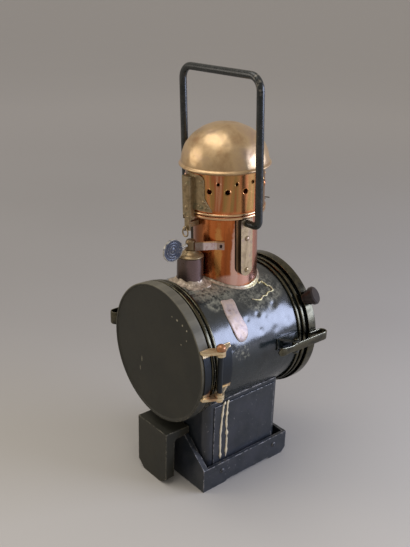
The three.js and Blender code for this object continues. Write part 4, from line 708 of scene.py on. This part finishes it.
wall = [(DRUM_IN, DRUM_Y[0]), (DRUM_R, DRUM_Y[0]), (DRUM_R, DRUM_Y[1]), (DRUM_IN, DRUM_Y[1])]
drum = stands_for("drum_shell", round_drum(finer(wall, 2), 320), "drum_paint", dented)
cut_by(drum, block(-56, 56, -59, 55, 60, AXIS_Z), bore(STACK_Y, 36.5, 96),
       bore(SPINDLE_Y, 6.2, 48))
for name, near, far, outer in (
        ("front_stop_ring", -82.2, -77, 89.7), ("front_bead_ring", -74, -70, 88.5),
        ("rear_stop_ring", 79.7, 74.5, 89.7), ("rear_bead_ring", 71.5, 67.5, 88.5)):
    ring = eased([(RING_IN, near), (outer, near), (outer, far), (RING_IN, far)], 1.8, 5)
    stands_for(name, round_drum(ring), "aged_iron")
pan = [(0, -97), (86.3, -97), (87.5, -98.2), (89.4, -98.2), (90, -97.6), (90, -84.4),
       (88.5, -84.4), (88.5, -95.5), (0, -95.5)]


def oil_canned(spot):
    """The flat sheet of the blank door stands in and out a little, as thin sheet does."""
    reach = hypot(spot.x, spot.z - AXIS_Z)
    return Vector((0, clouds(spot, 60, 5.5) * 0.3 * max(0.0, 1 - (reach / 84) ** 4), 0))


pan = round_drum(finer(eased(pan, 0.5), 4))
door = stands_for("front_door_pan", pan, "olive_paint", oil_canned)
bowl = [(r, -92.2 + 10 * (r / 70) ** 2) for r in range(10, 71, 5)]
back = [(r, y + 1.2) for r, y in reversed(bowl)]
mirror = [(0, -95.2), (10, -95.2)] + bowl + back + [(0, -91.0)]
stands_for("reflector", round_drum(mirror, 120), "reflector_tin")
bezel = [(66, 95.7), (91.3, 95.7), (92.5, 94.5), (92.5, 81.9), (91, 81.9), (91, 94.2), (66, 94.2)]
stands_for("lens_bezel", round_drum(finer(eased(bezel, 0.6), 4)), "aged_iron")
crown = [(LENS_R * share, LENS_FACE + LENS_RISE * (1 - share ** 2))
         for share in [1 - k / 12 for k in range(12)]]
lens = [(0, 90.9), (70, 90.9), (70, LENS_FACE)] + crown + [(0, LENS_FACE + LENS_RISE)]
stands_for("lens_glass", round_drum(lens, 120), "clear_glass")
keep = eased([(62, 90.6), (72, 90.6), (72, 88.6), (62, 88.6)], 0.5)
stands_for("lens_retainer", round_drum(keep, 160), "hinge_brass")
told(drum, door)

# %% [markdown]
# Chimney and collar are copper, and the chimney's foot follows the drum. A Boolean could cut it to
# that curve, but may leave slivers, so each column of points starts where it meets the drum.
# %% Chimney and spindle tube
def foot_on_drum(x, y, lean):
    """Height at which an upright line meets the drum once it has been leaned."""
    drop = AXIS_Z + sqrt((DRUM_R + 0.3) ** 2 - x * x) - DRUM_TOP
    return DRUM_TOP + (drop - y * sin(lean)) / cos(lean)


def tube_on_drum(centre_y, outer, inner, top, steps=144, rows=30, lean=0.0):
    """A pipe that stands on the drum: each column of points starts where it meets the drum."""
    corners, wall, size = [], skin(rows + 1, steps), (rows + 1) * steps
    for radius in (outer, inner):
        for k in range(rows + 1):
            for i in range(steps):
                x, y = radius * cos(tau * i / steps), radius * sin(tau * i / steps)
                foot = foot_on_drum(x, y, lean)
                corners.append((x, centre_y + y, foot + (top - foot) * k / rows))
    faces = wall + [tuple(size + i for i in face) for face in wall]
    for start in (0, rows * steps):
        for i in range(steps):
            a, b = start + i, start + (i + 1) % steps
            faces.append((a, b, b + size, a + size))
    return corners, faces


def pipe_wave(depth, seed):
    return lambda spot: Vector((clouds(spot, 30, seed), clouds(spot, 30, seed + 4), 0)) * depth


CHIMNEY_R, SPINDLE_R = 40.5, 16.7
chimney = stands_for("chimney_tube", tube_on_drum(STACK_Y, CHIMNEY_R, 39, 358, lean=LEAN), "copper",
                     pipe_wave(0.2, 1.3), lean=True)
collar = eased([(40.8, 351), (50, 351), (50, 355), (40.8, 355)], 1.6, 4)
stands_for("chimney_collar", upright(STACK_Y, collar), "copper", lean=True)
flue = [(26.8, 262), (28, 262), (28, 338.3), (38.7, 338.3), (38.7, 339.5), (26.8, 339.5)]
stands_for("inner_flue", upright(STACK_Y, flue, 96), "flue_black", lean=True)
spindle_tube = stands_for("spindle_tube", tube_on_drum(SPINDLE_Y, SPINDLE_R, 15.3, 299, 96, 16),
                          "spindle_brown", pipe_wave(0.15, 4.1))
gland = [(3.25, 299.3), (16.3, 299.3), (16.5, 300.5), (14.6, 302.2), (11, 303.6), (8.8, 305.6),
         (7.6, 307.5), (3.25, 307.5)]
stands_for("spindle_gland", upright(SPINDLE_Y, eased(gland, 0.8), 72), "hinge_brass")
spindle = [(0, 207.3), (3, 207.3), (3, 307.8), (6.5, 307.8), (6.5, 317.5), (5, 320.5), (0, 320.5)]
stands_for("shade_spindle", upright(SPINDLE_Y, eased(spindle, 0.8), 60), "dome_bronze")
told(chimney, spindle_tube)

# %% [markdown]
# The gallery under the dome is pierced by two rows of vents, punched outwards, so each has a
# small raised lip. A Boolean would leave ragged shading on the polished copper. Instead the wall
# is built in 28 columns, and each column has one square whose rings close in on a round hole.
# %% Gallery with its punched vents
GALLERY_R, GALLERY_IN, GALLERY_FOOT, VENT_TURN = 49.0, 47.8, 355.3, radians(-51)
BEAD_HIGH, BEAD_OUT, COLUMNS, PARTS, SQUARE = 3.7, 1.5, 28, 4, 4.75
UPPER_VENT, LOWER_VENT = (395.5, 2.0), (386.0, 3.15)
LEVELS = [GALLERY_FOOT, 355.7, 356.2, 357.15, 358.1, 358.6, 359, 362, 366, 370, 374, 378]
LEVELS += [381.25 + SQUARE / 2 * k for k in range(9)] + [403, 406.5, 410]


def gallery_wall():
    corners, faces, known = [], [], {}
    width = tau / COLUMNS

    def corner(turn, z, radius):
        key = (round(turn % tau, 5) % round(tau, 5), round(z, 3), round(radius, 3))
        if key not in known:
            known[key] = len(corners)
            corners.append((radius * cos(turn), STACK_Y + radius * sin(turn), z))
        return known[key]

    def outside(z):
        """The outer face swells into a bead at the bottom edge."""
        rise = z - GALLERY_FOOT
        inside = 0 < rise < BEAD_HIGH
        return GALLERY_R + (BEAD_OUT * sin(pi * rise / BEAD_HIGH) ** 0.7 if inside else 0.0)

    for column in range(COLUMNS):
        middle = VENT_TURN + width * column
        vent_z, vent_r = LOWER_VENT if column % 2 else UPPER_VENT
        turns = [middle + width * (k / PARTS - 0.5) for k in range(PARTS + 1)]
        sides = list(zip(turns, turns[1:]))
        for low, high in zip(LEVELS, LEVELS[1:]):
            if vent_z - SQUARE - 0.01 < low and high < vent_z + SQUARE + 0.01:
                continue
            for t0, t1 in sides:
                faces.append([corner(t0, low, outside(low)), corner(t1, low, outside(low)),
                              corner(t1, high, outside(high)), corner(t0, high, outside(high))])
                faces.append([corner(t0, low, GALLERY_IN), corner(t0, high, GALLERY_IN),
                              corner(t1, high, GALLERY_IN), corner(t1, low, GALLERY_IN)])
        border = []
        for side in range(4):
            for k in range(PARTS):
                along = k / PARTS * 2 - 1
                border.append([(along, -1), (1, along), (-along, 1), (-1, -along)][side])
        rings = []
        for reach, radius in (
                (None, GALLERY_R), (vent_r + 1.0, GALLERY_R), (vent_r + 0.5, GALLERY_R + 0.45),
                (vent_r, GALLERY_R + 0.15), (vent_r, GALLERY_IN), (None, GALLERY_IN)):
            ring = []
            for u, v in border:
                if reach is not None:
                    turn = atan2(v, u)
                    u = cos(turn) * reach / (width * GALLERY_R / 2)
                    v = sin(turn) * reach / SQUARE
                ring.append(corner(middle + u * width / 2, vent_z + v * SQUARE, radius))
            rings.append(ring)
        for first, second in zip(rings, rings[1:]):
            for i, here in enumerate(first):
                j = (i + 1) % len(first)
                faces.append([here, first[j], second[j], second[i]])
        for z in (LEVELS[0], LEVELS[-1]):
            for t0, t1 in sides:
                faces.append([corner(t0, z, outside(z)), corner(t1, z, outside(z)),
                              corner(t1, z, GALLERY_IN), corner(t0, z, GALLERY_IN)])
    return corners, faces


told(stands_for("hood_gallery", gallery_wall(), "copper", lean=True))

# %% [markdown]
# The dome was beaten over a stake. Its rim is wired, which leaves a round bead. The profile gives
# the bead and the crown, and two sizes of noise give the shallow flats that the hammer left.
# %% Dome
DOME_R, DOME_RISE, DOME_WALL, DOME_FOOT, RIM_R = 54.2, 46.1, 1.4, 413.4, 2.6
INNER_R, INNER_RISE = DOME_R - DOME_WALL, DOME_RISE - DOME_WALL


def quarter(radius, rise, foot, steps):
    """A quarter of an ellipse, from the rim up to the axis."""
    return [(radius * cos(pi / 2 * k / steps), foot + rise * sin(pi / 2 * k / steps))
            for k in range(steps + 1)]


bead = [(DOME_R + RIM_R * sin(pi * k / 8), 412.8 - 2 * RIM_R * k / 8) for k in range(9)]
crown = quarter(DOME_R, DOME_RISE, DOME_FOOT, 30)[-2::-1]
hollow = quarter(INNER_R, INNER_RISE, DOME_FOOT, 20)[:-1]
dome_profile = [(0, DOME_FOOT + DOME_RISE)] + crown + bead + [(49.3, 407.6), (49.3, 409)]
dome_profile += [(INNER_R, 409)] + hollow + [(0, DOME_FOOT + INNER_RISE)]


def beaten(spot):
    out = spot - Vector((0, STACK_Y, 405))
    if spot.z < 416:
        return out.normalized() * clouds(spot, 20, 2.0) * 0.1
    marks = clouds(spot, 10, 6.0) * 0.5 + clouds(spot, 24, 7.0) * 0.55
    return out.normalized() * (marks - 0.5) * 0.8


told(stands_for("hood_dome", upright(STACK_Y, finer(dome_profile, 2.5), 200), "dome_bronze",
                beaten, lean=True))

# %% [markdown]
# The bail is one bent iron bar. A curve with a round bevel would do, and so does a bar swept
# along the same bends, which also gives the flat ends their rivet heads.
# %% Bail
PIVOT_Z, BAIL_TOP, BAR_R, LEG_X, END_X = 345.5, 519.5, 4.6, 68.5, 48.8
TOP_BEND, FOOT_BEND = 16, 8
TOP_X, FOOT_X = LEG_X - TOP_BEND, LEG_X - FOOT_BEND
TOP_Z, FOOT_Z = BAIL_TOP - TOP_BEND, PIVOT_Z + FOOT_BEND


def bent(x, z, radius, start, end, steps=12):
    turns = [radians(start + (end - start) * k / steps) for k in range(steps + 1)]
    return [(x + radius * cos(t), BAIL_Y, z + radius * sin(t)) for t in turns]


bar = [(END_X, BAIL_Y, PIVOT_Z)] + bent(FOOT_X, FOOT_Z, FOOT_BEND, -90, 0)
bar += [(LEG_X, BAIL_Y, 362 + 12 * k) for k in range(12)] + bent(TOP_X, TOP_Z, TOP_BEND, 0, 90)
bar += [(TOP_X - TOP_X / 5 * k, BAIL_Y, BAIL_TOP) for k in range(1, 10)]
bar += bent(-TOP_X, TOP_Z, TOP_BEND, 90, 180) + [(-LEG_X, BAIL_Y, 494 - 12 * k) for k in range(12)]
bar += bent(-FOOT_X, FOOT_Z, FOOT_BEND, 180, 270) + [(-END_X, BAIL_Y, PIVOT_Z)]
pin_end = [(0, 44.4), (3.2, 44.4), (3.2, 46.2), (2.5, 46.2), (2.5, 50), (0, 50)]
ends = [turned("x", (BAIL_Y, PIVOT_Z), [(r, side * x) for r, x in pin_end], 32) for side in (1, -1)]
told(stands_for("bail", joined(swept(bar, BAR_R, (0, 1, 0), 24), *ends), "black_iron",
                lambda spot: Vector((clouds(spot, 60, 9), clouds(spot, 60, 4), 0)) * 0.35,
                lean=True))

# %% [markdown]
# Pins and rivets have round heads, and the tongue's ring is round wire. They are small enough to
# keep the solid's own facets, but round metal catches the light, so they get full profiles too.
# %% Pins, rivets and the tongue's ring
RIVET_FACE, RIVET_RISE, RIVET_Z = 71.7, 2.2, 21
RIVET_Y = {"front": -43.5, "rear": 50.5}


def domed(radius, rise, face, steps=6):
    """The points of a low round head, from its rim to just before its top."""
    return quarter(radius, rise, face, steps)[:-1]


for node, x, y in (("front_hinge_pin", 95, -75.2), ("lens_hinge_pin", -97.5, 72.7)):
    pin = [(0, 149.7), (4.6, 149.7), (4.6, 152.7), (3.25, 152.7), (3.25, 217.5), (5.2, 217.5)]
    pin += domed(5.9, 4.6, 220.5, 8) + [(0, 225.1)]
    stands_for(node, turned("z", (x, y), eased(pin, 0.4), 48), "hinge_brass")
rivet = [(0, 67.3), (1.8, 67.3), (1.8, RIVET_FACE)] + domed(3.4, RIVET_RISE, RIVET_FACE)
rivet += [(0, RIVET_FACE + RIVET_RISE)]
for end, y in RIVET_Y.items():
    for hand, side in (("right", 1), ("left", -1)):
        head = [(r, side * x) for r, x in rivet]
        stands_for(f"base_rivet_{end}_{hand}", turned("x", (y, RIVET_Z), head, 36), "slate_paint")
ring_low, ring_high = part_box("tongue_ring")
middle = (ring_low + ring_high) / 2 / MM
hoop = [(middle.x + 5 * cos(tau * k / 48), middle.y, middle.z + 5 * sin(tau * k / 48))
        for k in range(48)]
told(stands_for("tongue_ring", swept(hoop, 0.9, (0, 1, 0), 12, closed=True), "hinge_brass"))

# %% [markdown]
# The thumb disc that swings the coloured shade has a raised rim and finger grooves, so a cold or
# gloved hand finds it. Both faces are one turned profile, joined to the short arm.
# %% Thumb disc
half_disc = [(0, 0.75), (3.6, 0.75), (4.0, 0.45), (4.4, 0.75), (7.0, 0.75), (7.4, 0.45),
             (7.8, 0.75), (10.2, 0.75), (10.6, 0.45), (11.0, 0.75), (12.6, 0.75), (13.2, 1.25),
             (14.2, 1.25), (14.5, 0.9)]
disc_profile = half_disc + [(r, -x) for r, x in reversed(half_disc)]
arm = swept([(0, SPINDLE_Y - 6.8 - 2.2 * k, 314.15 - 0.3 * k) for k in range(6)],
            lambda share: 1.25 + 1.2 * (1 - share), (1, 0, 0), 16)
told(stands_for("thumb_disc", joined(turned("x", (DISC_Y, DISC_Z), disc_profile, 96), arm),
                "disc_slate", lambda spot: Vector((clouds(spot, 16, 2) * 0.3, 0, 0))))

# %% [markdown]
# Each latch is one strip of spring iron bent like a hairpin, with a spoon-shaped thumb piece at
# its end. An extruded outline would give it one height all along. Here the strip is swept, and its
# height follows the length: round at the tip, narrow behind it, full at the pivot and the loop.
# %% Hairpin latches
HALF_STRIP, RETURN_LENGTH = 1.1, 17
NECK_SHARE, NECK_AT, NECK_LONG, DISH_DEEP, DISH_LONG = 0.24, 20, 8, 2.2, 12
SECTION = ((1, -0.86), (1, 0.86), (0.6, 1), (-0.6, 1), (-1, 0.86), (-1, -0.86), (-0.6, -1),
           (0.6, -1))


def hairpin(node, side, pivot):
    """From the thumb piece along the outside, round the loop, and a little way back."""
    low, high = (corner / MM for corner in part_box(node))
    outside, inside = (high.x, low.x) if side > 0 else (low.x, high.x)
    tip, end = (low.y, high.y) if side > 0 else (high.y, low.y)
    radius = abs(outside - inside) / 2
    middle_x, loop_y, bend = (outside + inside) / 2, end - side * radius, radius - HALF_STRIP
    run = [(outside - side * HALF_STRIP, tip + (loop_y - tip) * k / 40) for k in range(41)]
    run += [(middle_x + side * bend * cos(pi * k / 16), loop_y + side * bend * sin(pi * k / 16))
            for k in range(1, 17)]
    run += [(inside + side * HALF_STRIP, loop_y - side * RETURN_LENGTH * k / 8)
            for k in range(1, 9)]
    full, middle_z, length = (high.z - low.z) / 2, (high.z + low.z) / 2, 0.0
    corners, before = [], Vector(run[0])
    for i, spot in enumerate(run):
        spot = Vector(spot)
        length += (spot - before).length
        before = spot
        ahead = Vector(run[min(i + 1, len(run) - 1)]) - Vector(run[max(i - 1, 0)])
        ahead = ahead.normalized()
        across = Vector((ahead.y, -ahead.x))
        tall = full * (1 - NECK_SHARE * exp(-((length - NECK_AT) / NECK_LONG) ** 2))
        if length < full:
            tall = max(0.8, full * sqrt(1 - (1 - length / full) ** 2))
        dish = Vector((-side * DISH_DEEP * max(0.0, 1 - length / DISH_LONG) ** 2, 0))
        for u, v in SECTION:
            flat = spot + across * u + dish
            corners.append((flat.x, flat.y, middle_z + v * tall))
    strip = corners, skin(len(run), len(SECTION), caps=True)
    eye = [(r, middle_z + v * full) for r, v in ((2.3, -1), (4.8, -1), (4.8, 1), (2.3, 1))]
    eye = turned("z", pivot, eased(eye, 0.4), 40)
    return stands_for(node, joined(strip, eye), "aged_iron", sharp=30)


told(hairpin("lens_latch", 1, (101, 46.5)), hairpin("front_latch", -1, (-101, -49)))

# %% [markdown]
# What was folded, filed or cast keeps the solid's own shape. Only its edges are rounded, by a
# Bevel modifier limited to real corners, because a knife-sharp edge never catches light.
# %% Cast and folded pieces
EASED = (
    ("base_frame", "slate_paint", 1.2), ("base_floor", "slate_paint", 0.5),
    ("lamp_iron_socket", "olive_paint", 1.6), ("well_housing", "slate_paint", 0.4),
    ("well_side_panel", "slate_paint", 0.35), ("front_hinge_drum_leaf", "hinge_brass", 0.5),
    ("front_hinge_door_leaf", "hinge_brass", 0.5), ("lens_hinge_drum_leaf", "hinge_brass", 0.5),
    ("lens_hinge_door_leaf", "hinge_brass", 0.5), ("front_latch_bracket", "drum_paint", 0.4),
    ("front_latch_pin", "aged_iron", 0.4), ("lens_latch_bracket", "drum_paint", 0.4),
    ("lens_latch_pin", "aged_iron", 0.4), ("lens_door_pull", "pull_brown", 0.6),
    ("hood_hinge_lower_leaf", "dome_bronze", 0.4), ("hood_hinge_upper_leaf", "dome_bronze", 0.4),
    ("hood_hinge_pin", "aged_iron", 0.25), ("hood_keeper", "dark_bronze", 0.5),
    ("hood_latch_strap", "dark_bronze", 0.4), ("hood_tongue", "dark_bronze", 0.4),
    ("bail_bracket_right", "bracket_brass", 0.6), ("bail_bracket_left", "bracket_brass", 0.6),
    ("catch_spring", "spring_steel", 0.3), ("shade_frame", "hinge_brass", 0.4),
    ("shade_glass", "red_glass", 0.3), ("oil_font", "font_tin", 0.3),
    ("burner", "hinge_brass", 0.4), ("lamp_glass", "clear_glass", 0.2),
    ("wick_winder", "hinge_brass", 0.4), ("wick", "wick_cotton", 0.3))
for node, slot, ease in EASED:
    eased_copy(node, slot, ease)
print("pieces with the solid's own shape:", len(EASED))

# %% [markdown]
# The strap in front of the hood is held by rivets. Their heads could be bumps in the material, but
# they stand out against the light, so each is a low dome of its own, sunk a little into the sheet.
# %% Rivets of the hood's strap
def low_dome(x, z, face, radius, rise):
    """A head that faces forwards, its foot sunk into the strap."""
    head = [(0, face + 1.5), (radius, face + 1.5)] + domed(radius, -rise, face)
    return turned("y", (x, z), head + [(0, face - rise)], 28)


heads = [low_dome(-3, 390, -51.9, 2.4, 1.4), low_dome(-5, 361, -50.4, 2.4, 1.3),
         low_dome(-8.4, 351.5, -49.9, 1.9, 1.1), low_dome(15, 370, -40.2, 2.2, 1.5),
         low_dome(8.5, 364, -41.6, 1.8, 1.3)]
told(made("hood_strap_rivets", joined(*heads), "dark_bronze",
          frame["nodes"]["hood_latch_strap"]["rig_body"]))

# %% [markdown]
# The joints between round and round were sweated with solder, wiped while soft. A round bead would
# look machine made. The real seam is a skirt: it climbs the pipe a little, spreads out over the
# drum, and its edge wanders. So the skirt is a ring of small profiles whose size follows a noise.
# %% Solder round the chimney and the spindle tube
def solder_skirt(centre_y, radius, climb, spread, seed, lean, steps=240, rows=9):
    corners = []
    for i in range(steps):
        turn = tau * i / steps
        side, lift = Vector((cos(turn), sin(turn), 0)), Vector((0, 0, seed))
        drift = noise.noise(side * 1.8 + lift) + noise.noise(side * 5 + lift) * 0.35
        up, out = climb * (1 + 0.5 * drift), spread * (1 + 0.7 * drift)
        column = []
        for k in range(rows):
            share = k / (rows - 1)
            spot = side * (radius + 0.4 + out * share ** 1.5)
            foot = foot_on_drum(spot.x, spot.y, lean)
            column.append((spot, foot + 0.15 + up * (1 - share) ** 1.7))
        column.append((side * (radius + out), column[-1][1] - 1.5))
        under = foot_on_drum(side.x * radius, side.y * radius, lean) - 0.6
        column.append((side * (radius - 0.4), under))
        corners += [Vector((s.x, centre_y + s.y, z)) for s, z in column]
    return corners, skin(steps, rows + 2, closed=True)


def wiped(spot):
    return Vector([clouds(spot, 4, seed) for seed in (1, 2, 3)]) * 0.35


chimney_skirt = solder_skirt(STACK_Y, CHIMNEY_R, 2.2, 2.6, 3, LEAN)
spindle_skirt = solder_skirt(SPINDLE_Y, SPINDLE_R, 5, 8.5, 7, 0)
told(made("chimney_solder", chimney_skirt, "pale_copper", field=wiped, lean=True, sharp=80),
     made("spindle_solder", spindle_skirt, "pale_copper", field=wiped, sharp=80))

# %% [markdown]
# Someone also ran loose solder over the drum and let it drip down the well's side, and soldered a
# pale patch over a hole in the drum. A run of solder is thin and lumpy: a bar swept along the run,
# flattened against the sheet. The patch is an outline filled inwards, so its rim can be rounded.
# %% Runs of solder and the patch
WELL_SIDE = 64.4


def run_of_solder(spots, size, seed, parts=6):
    path = []
    for start, end in zip(spots, spots[1:]):
        path += [Vector(start).lerp(Vector(end), k / parts) for k in range(parts)]
    path.append(Vector(spots[-1]))

    def lumpy(share):
        ends = min(1.0, share * 12 + 0.3, (1 - share) * 12 + 0.3)
        return size * ends * (1 + 1.1 * noise.noise(Vector((share * len(spots) * 2.3, seed, 0))))
    return swept(path, lumpy, (1, 0.1, 0.05), 10)


def flattened(spot):
    return Vector(((WELL_SIDE - spot.x) * 0.4, 0, 0))


SCRIBBLE = [(34.5, 34.1, 260), (41.4, 34.7, 256.6), (40.2, 39.5, 257.3), (43.4, 41.9, 255.6),
            (47.5, 43.5, 253), (49.1, 47.3, 252), (54.3, 47.9, 248), (55.2, 43, 247.5),
            (54.7, 38.5, 247.8), (57.5, 33, 245.5), (56.9, 27.6, 245.9), (59.8, 21, 243.4),
            (58.8, 15.4, 244.2), (56.3, 8.9, 246.4)]
made("drum_solder_run", run_of_solder(SCRIBBLE, 0.9, 4), "pale_copper", field=wiped, sharp=80)
FRONT_DRIP = [(-36, 119), (-39.1, 114.4), (-41.1, 95.8), (-42.9, 73.9), (-42.4, 52.2), (-42, 34.8)]
REAR_DRIP = [(-30, 119), (-32.2, 116.6), (-32.8, 101.5), (-33.6, 88.3), (-32, 70.9), (-31.7, 56.8),
             (-32.4, 34)]
for name, drip, seed in (("front_drip", FRONT_DRIP, 2), ("rear_drip", REAR_DRIP, 9)):
    run = run_of_solder([(WELL_SIDE, y, z) for y, z in drip], 1.5, seed)
    told(made(name, run, "pale_copper", field=flattened, sharp=80))


def patch_on_drum(outline, thick, parts=6, rings=9):
    """Fills a closed outline of (along, degrees round the drum) inwards, domed at the rim."""
    border, count = [], len(outline)
    for i in range(count):
        p0, p1, p2, p3 = (Vector(outline[(i + k) % count]) for k in (-1, 0, 1, 2))
        for k in range(parts):
            t = k / parts
            border.append(0.5 * (2 * p1 + (p2 - p0) * t + (2 * p0 - 5 * p1 + 4 * p2 - p3) * t * t
                                 + (3 * p1 - p0 - 3 * p2 + p3) * t * t * t))
    middle, total = sum(border, Vector((0, 0))) / len(border), len(border)

    def placed(spot, rise):
        turn = radians(spot.y)
        return Vector(((DRUM_R + rise) * cos(turn), spot.x, AXIS_Z + (DRUM_R + rise) * sin(turn)))
    levels = [(1.0, -0.9), (1.0, thick * 0.35), (0.985, thick * 0.75), (0.96, thick)]
    levels += [(0.96 * (1 - k / rings), thick) for k in range(1, rings)]
    corners = [placed(middle.lerp(spot, share), rise) for share, rise in levels for spot in border]
    corners.append(placed(middle, thick))
    last = (len(levels) - 1) * total
    faces = skin(len(levels), total)
    faces += [(last + i, last + (i + 1) % total, last + total) for i in range(total)]
    faces.append(tuple(reversed(range(total))))
    return corners, faces


patch_outline = [(-36, 56.2), (-27, 55.4), (-18.5, 54.2), (-19.8, 43.5), (-18.5, 36), (-16.2, 29),
                 (-18, 22.5), (-23.5, 19.2), (-29, 18.6), (-34, 20.5), (-37.2, 25.5), (-39, 32.2),
                 (-40.2, 43.4), (-38, 51)]
told(stands_for("repair_patch", patch_on_drum(patch_outline, 0.9), "pale_copper",
                lambda spot: Vector((1, 0, 0.6)) * clouds(spot, 9, 12) * 0.25, sharp=50))

# %% [markdown]
# The picture was taken from the front right and a little above. The camera's turn and place come
# from matching the lamp's known circles to the picture, so the render can be laid over it.
# %% Camera
SENSOR, FOCUS_PIXELS, PICTURE_TALL = 36, 722.49, 547
TURN, TILT, ROLL = radians(49.3), 0.37993, 0.02796
RIGHTWARD, UPWARD, BACKWARD = -9.294, 245.751, 1029.065
back = Vector((sin(TURN) * cos(TILT), -cos(TURN) * cos(TILT), sin(TILT)))
right = Vector((cos(TURN), sin(TURN), 0))
up = back.cross(right)
right, up = right * cos(ROLL) + up * sin(ROLL), up * cos(ROLL) - right * sin(ROLL)
camera_data = bpy.data.cameras.new("camera")
camera_data.lens, camera_data.sensor_width = FOCUS_PIXELS / PICTURE_TALL * SENSOR, SENSOR
camera = linked("camera", camera_data)
place = right * RIGHTWARD + up * UPWARD + back * BACKWARD
turn = Matrix((right, up, back)).transposed().to_4x4()
camera.matrix_world = Matrix.Translation(place * MM) @ turn
bpy.context.scene.camera = camera
print("camera:", [round(v, 3) for v in camera.location], "lens", round(camera_data.lens, 2))

# %% [markdown]
# A lamp of polished and painted metal shows mostly what stands round it. A studio gives it broad
# soft boxes: one above, a cool one to the right like a window, and a warm one to the left.
# The floor is one wide disc, a little lighter towards the camera and far away.
# %% Floor, lights and world
FLOOR_R, FLOOR_STEPS, AIM = 150000, 64, Vector((0, 0, 0.2))
floor_mesh = bpy.data.meshes.new("floor")
rim = [(FLOOR_R * cos(tau * i / FLOOR_STEPS), FLOOR_R * sin(tau * i / FLOOR_STEPS), 0)
       for i in range(FLOOR_STEPS)]
floor_mesh.from_pydata([Vector(c) * MM for c in [(0, 0, 0)] + rim], [],
                       [(0, 1 + i, 1 + (i + 1) % FLOOR_STEPS) for i in range(FLOOR_STEPS)])
floor = linked("floor", floor_mesh)
ground = Finish("studio_floor")
shade = ground.clouds(500, 2, 0.4)
front = ground.between(ground.along("x") * 0.758 - ground.along("y") * 0.652, -500, 350)
far = ground.between(ground.reach((0, 0, 0)), 700, 3200)
plain = ground.mix(shade, rgb(152, 146, 140), rgb(160, 154, 148))
plain = ground.layered(plain, (front, (189, 182, 172)), (far, (192, 184, 177)))
ground.feed(colour=plain, rough=0.7 + shade * 0.1)
floor_mesh.materials.append(ground.material)


def soft_box(name, place, size, power, colour):
    data = bpy.data.lights.new(name, "AREA")
    data.shape, data.size, data.size_y = "RECTANGLE", size[0], size[1]
    data.energy, data.color = power, colour
    box = linked(name, data)
    box.location = place
    box.rotation_euler = (AIM - Vector(place)).to_track_quat("-Z", "Y").to_euler()
    box.visible_camera = False


soft_box("top_box", (-0.3, -0.5, 2.0), (1.6, 1.2), 14, (1.0, 0.98, 0.95))
soft_box("window_box", (1.05, 1.08, 0.58), (1.1, 0.72), 23, (0.62, 0.71, 1.0))
soft_box("warm_box", (-1.3, -1.6, 0.9), (0.8, 1.2), 8, (1.0, 0.93, 0.84))
world = bpy.data.worlds.new("studio")
world.use_nodes = True
bpy.context.scene.world = world
nodes, links = world.node_tree.nodes, world.node_tree.links
lighting, backdrop = nodes["Background"], nodes.new("ShaderNodeBackground")
rays, mixed = nodes.new("ShaderNodeLightPath"), nodes.new("ShaderNodeMixShader")
seen, either = nodes.new("ShaderNodeMath"), nodes.new("ShaderNodeMath")
seen.operation = either.operation = "MAXIMUM"
lighting.inputs["Color"].default_value = (1, 1, 1, 1)
lighting.inputs["Strength"].default_value = 0.48
backdrop.inputs["Color"].default_value = rgb(176, 169, 160)
for source, out, target, into in (
        (rays, "Is Camera Ray", seen, 0), (rays, "Is Glossy Ray", seen, 1), (seen, 0, either, 0),
        (rays, "Is Transmission Ray", either, 1), (either, 0, mixed, "Fac"),
        (lighting, 0, mixed, 1), (backdrop, 0, mixed, 2),
        (mixed, 0, nodes["World Output"], "Surface")):
    links.new(source.outputs[out], target.inputs[into])
bpy.context.scene.view_settings.view_transform = "Standard"
print("lights:", [light.name for light in bpy.data.lights])
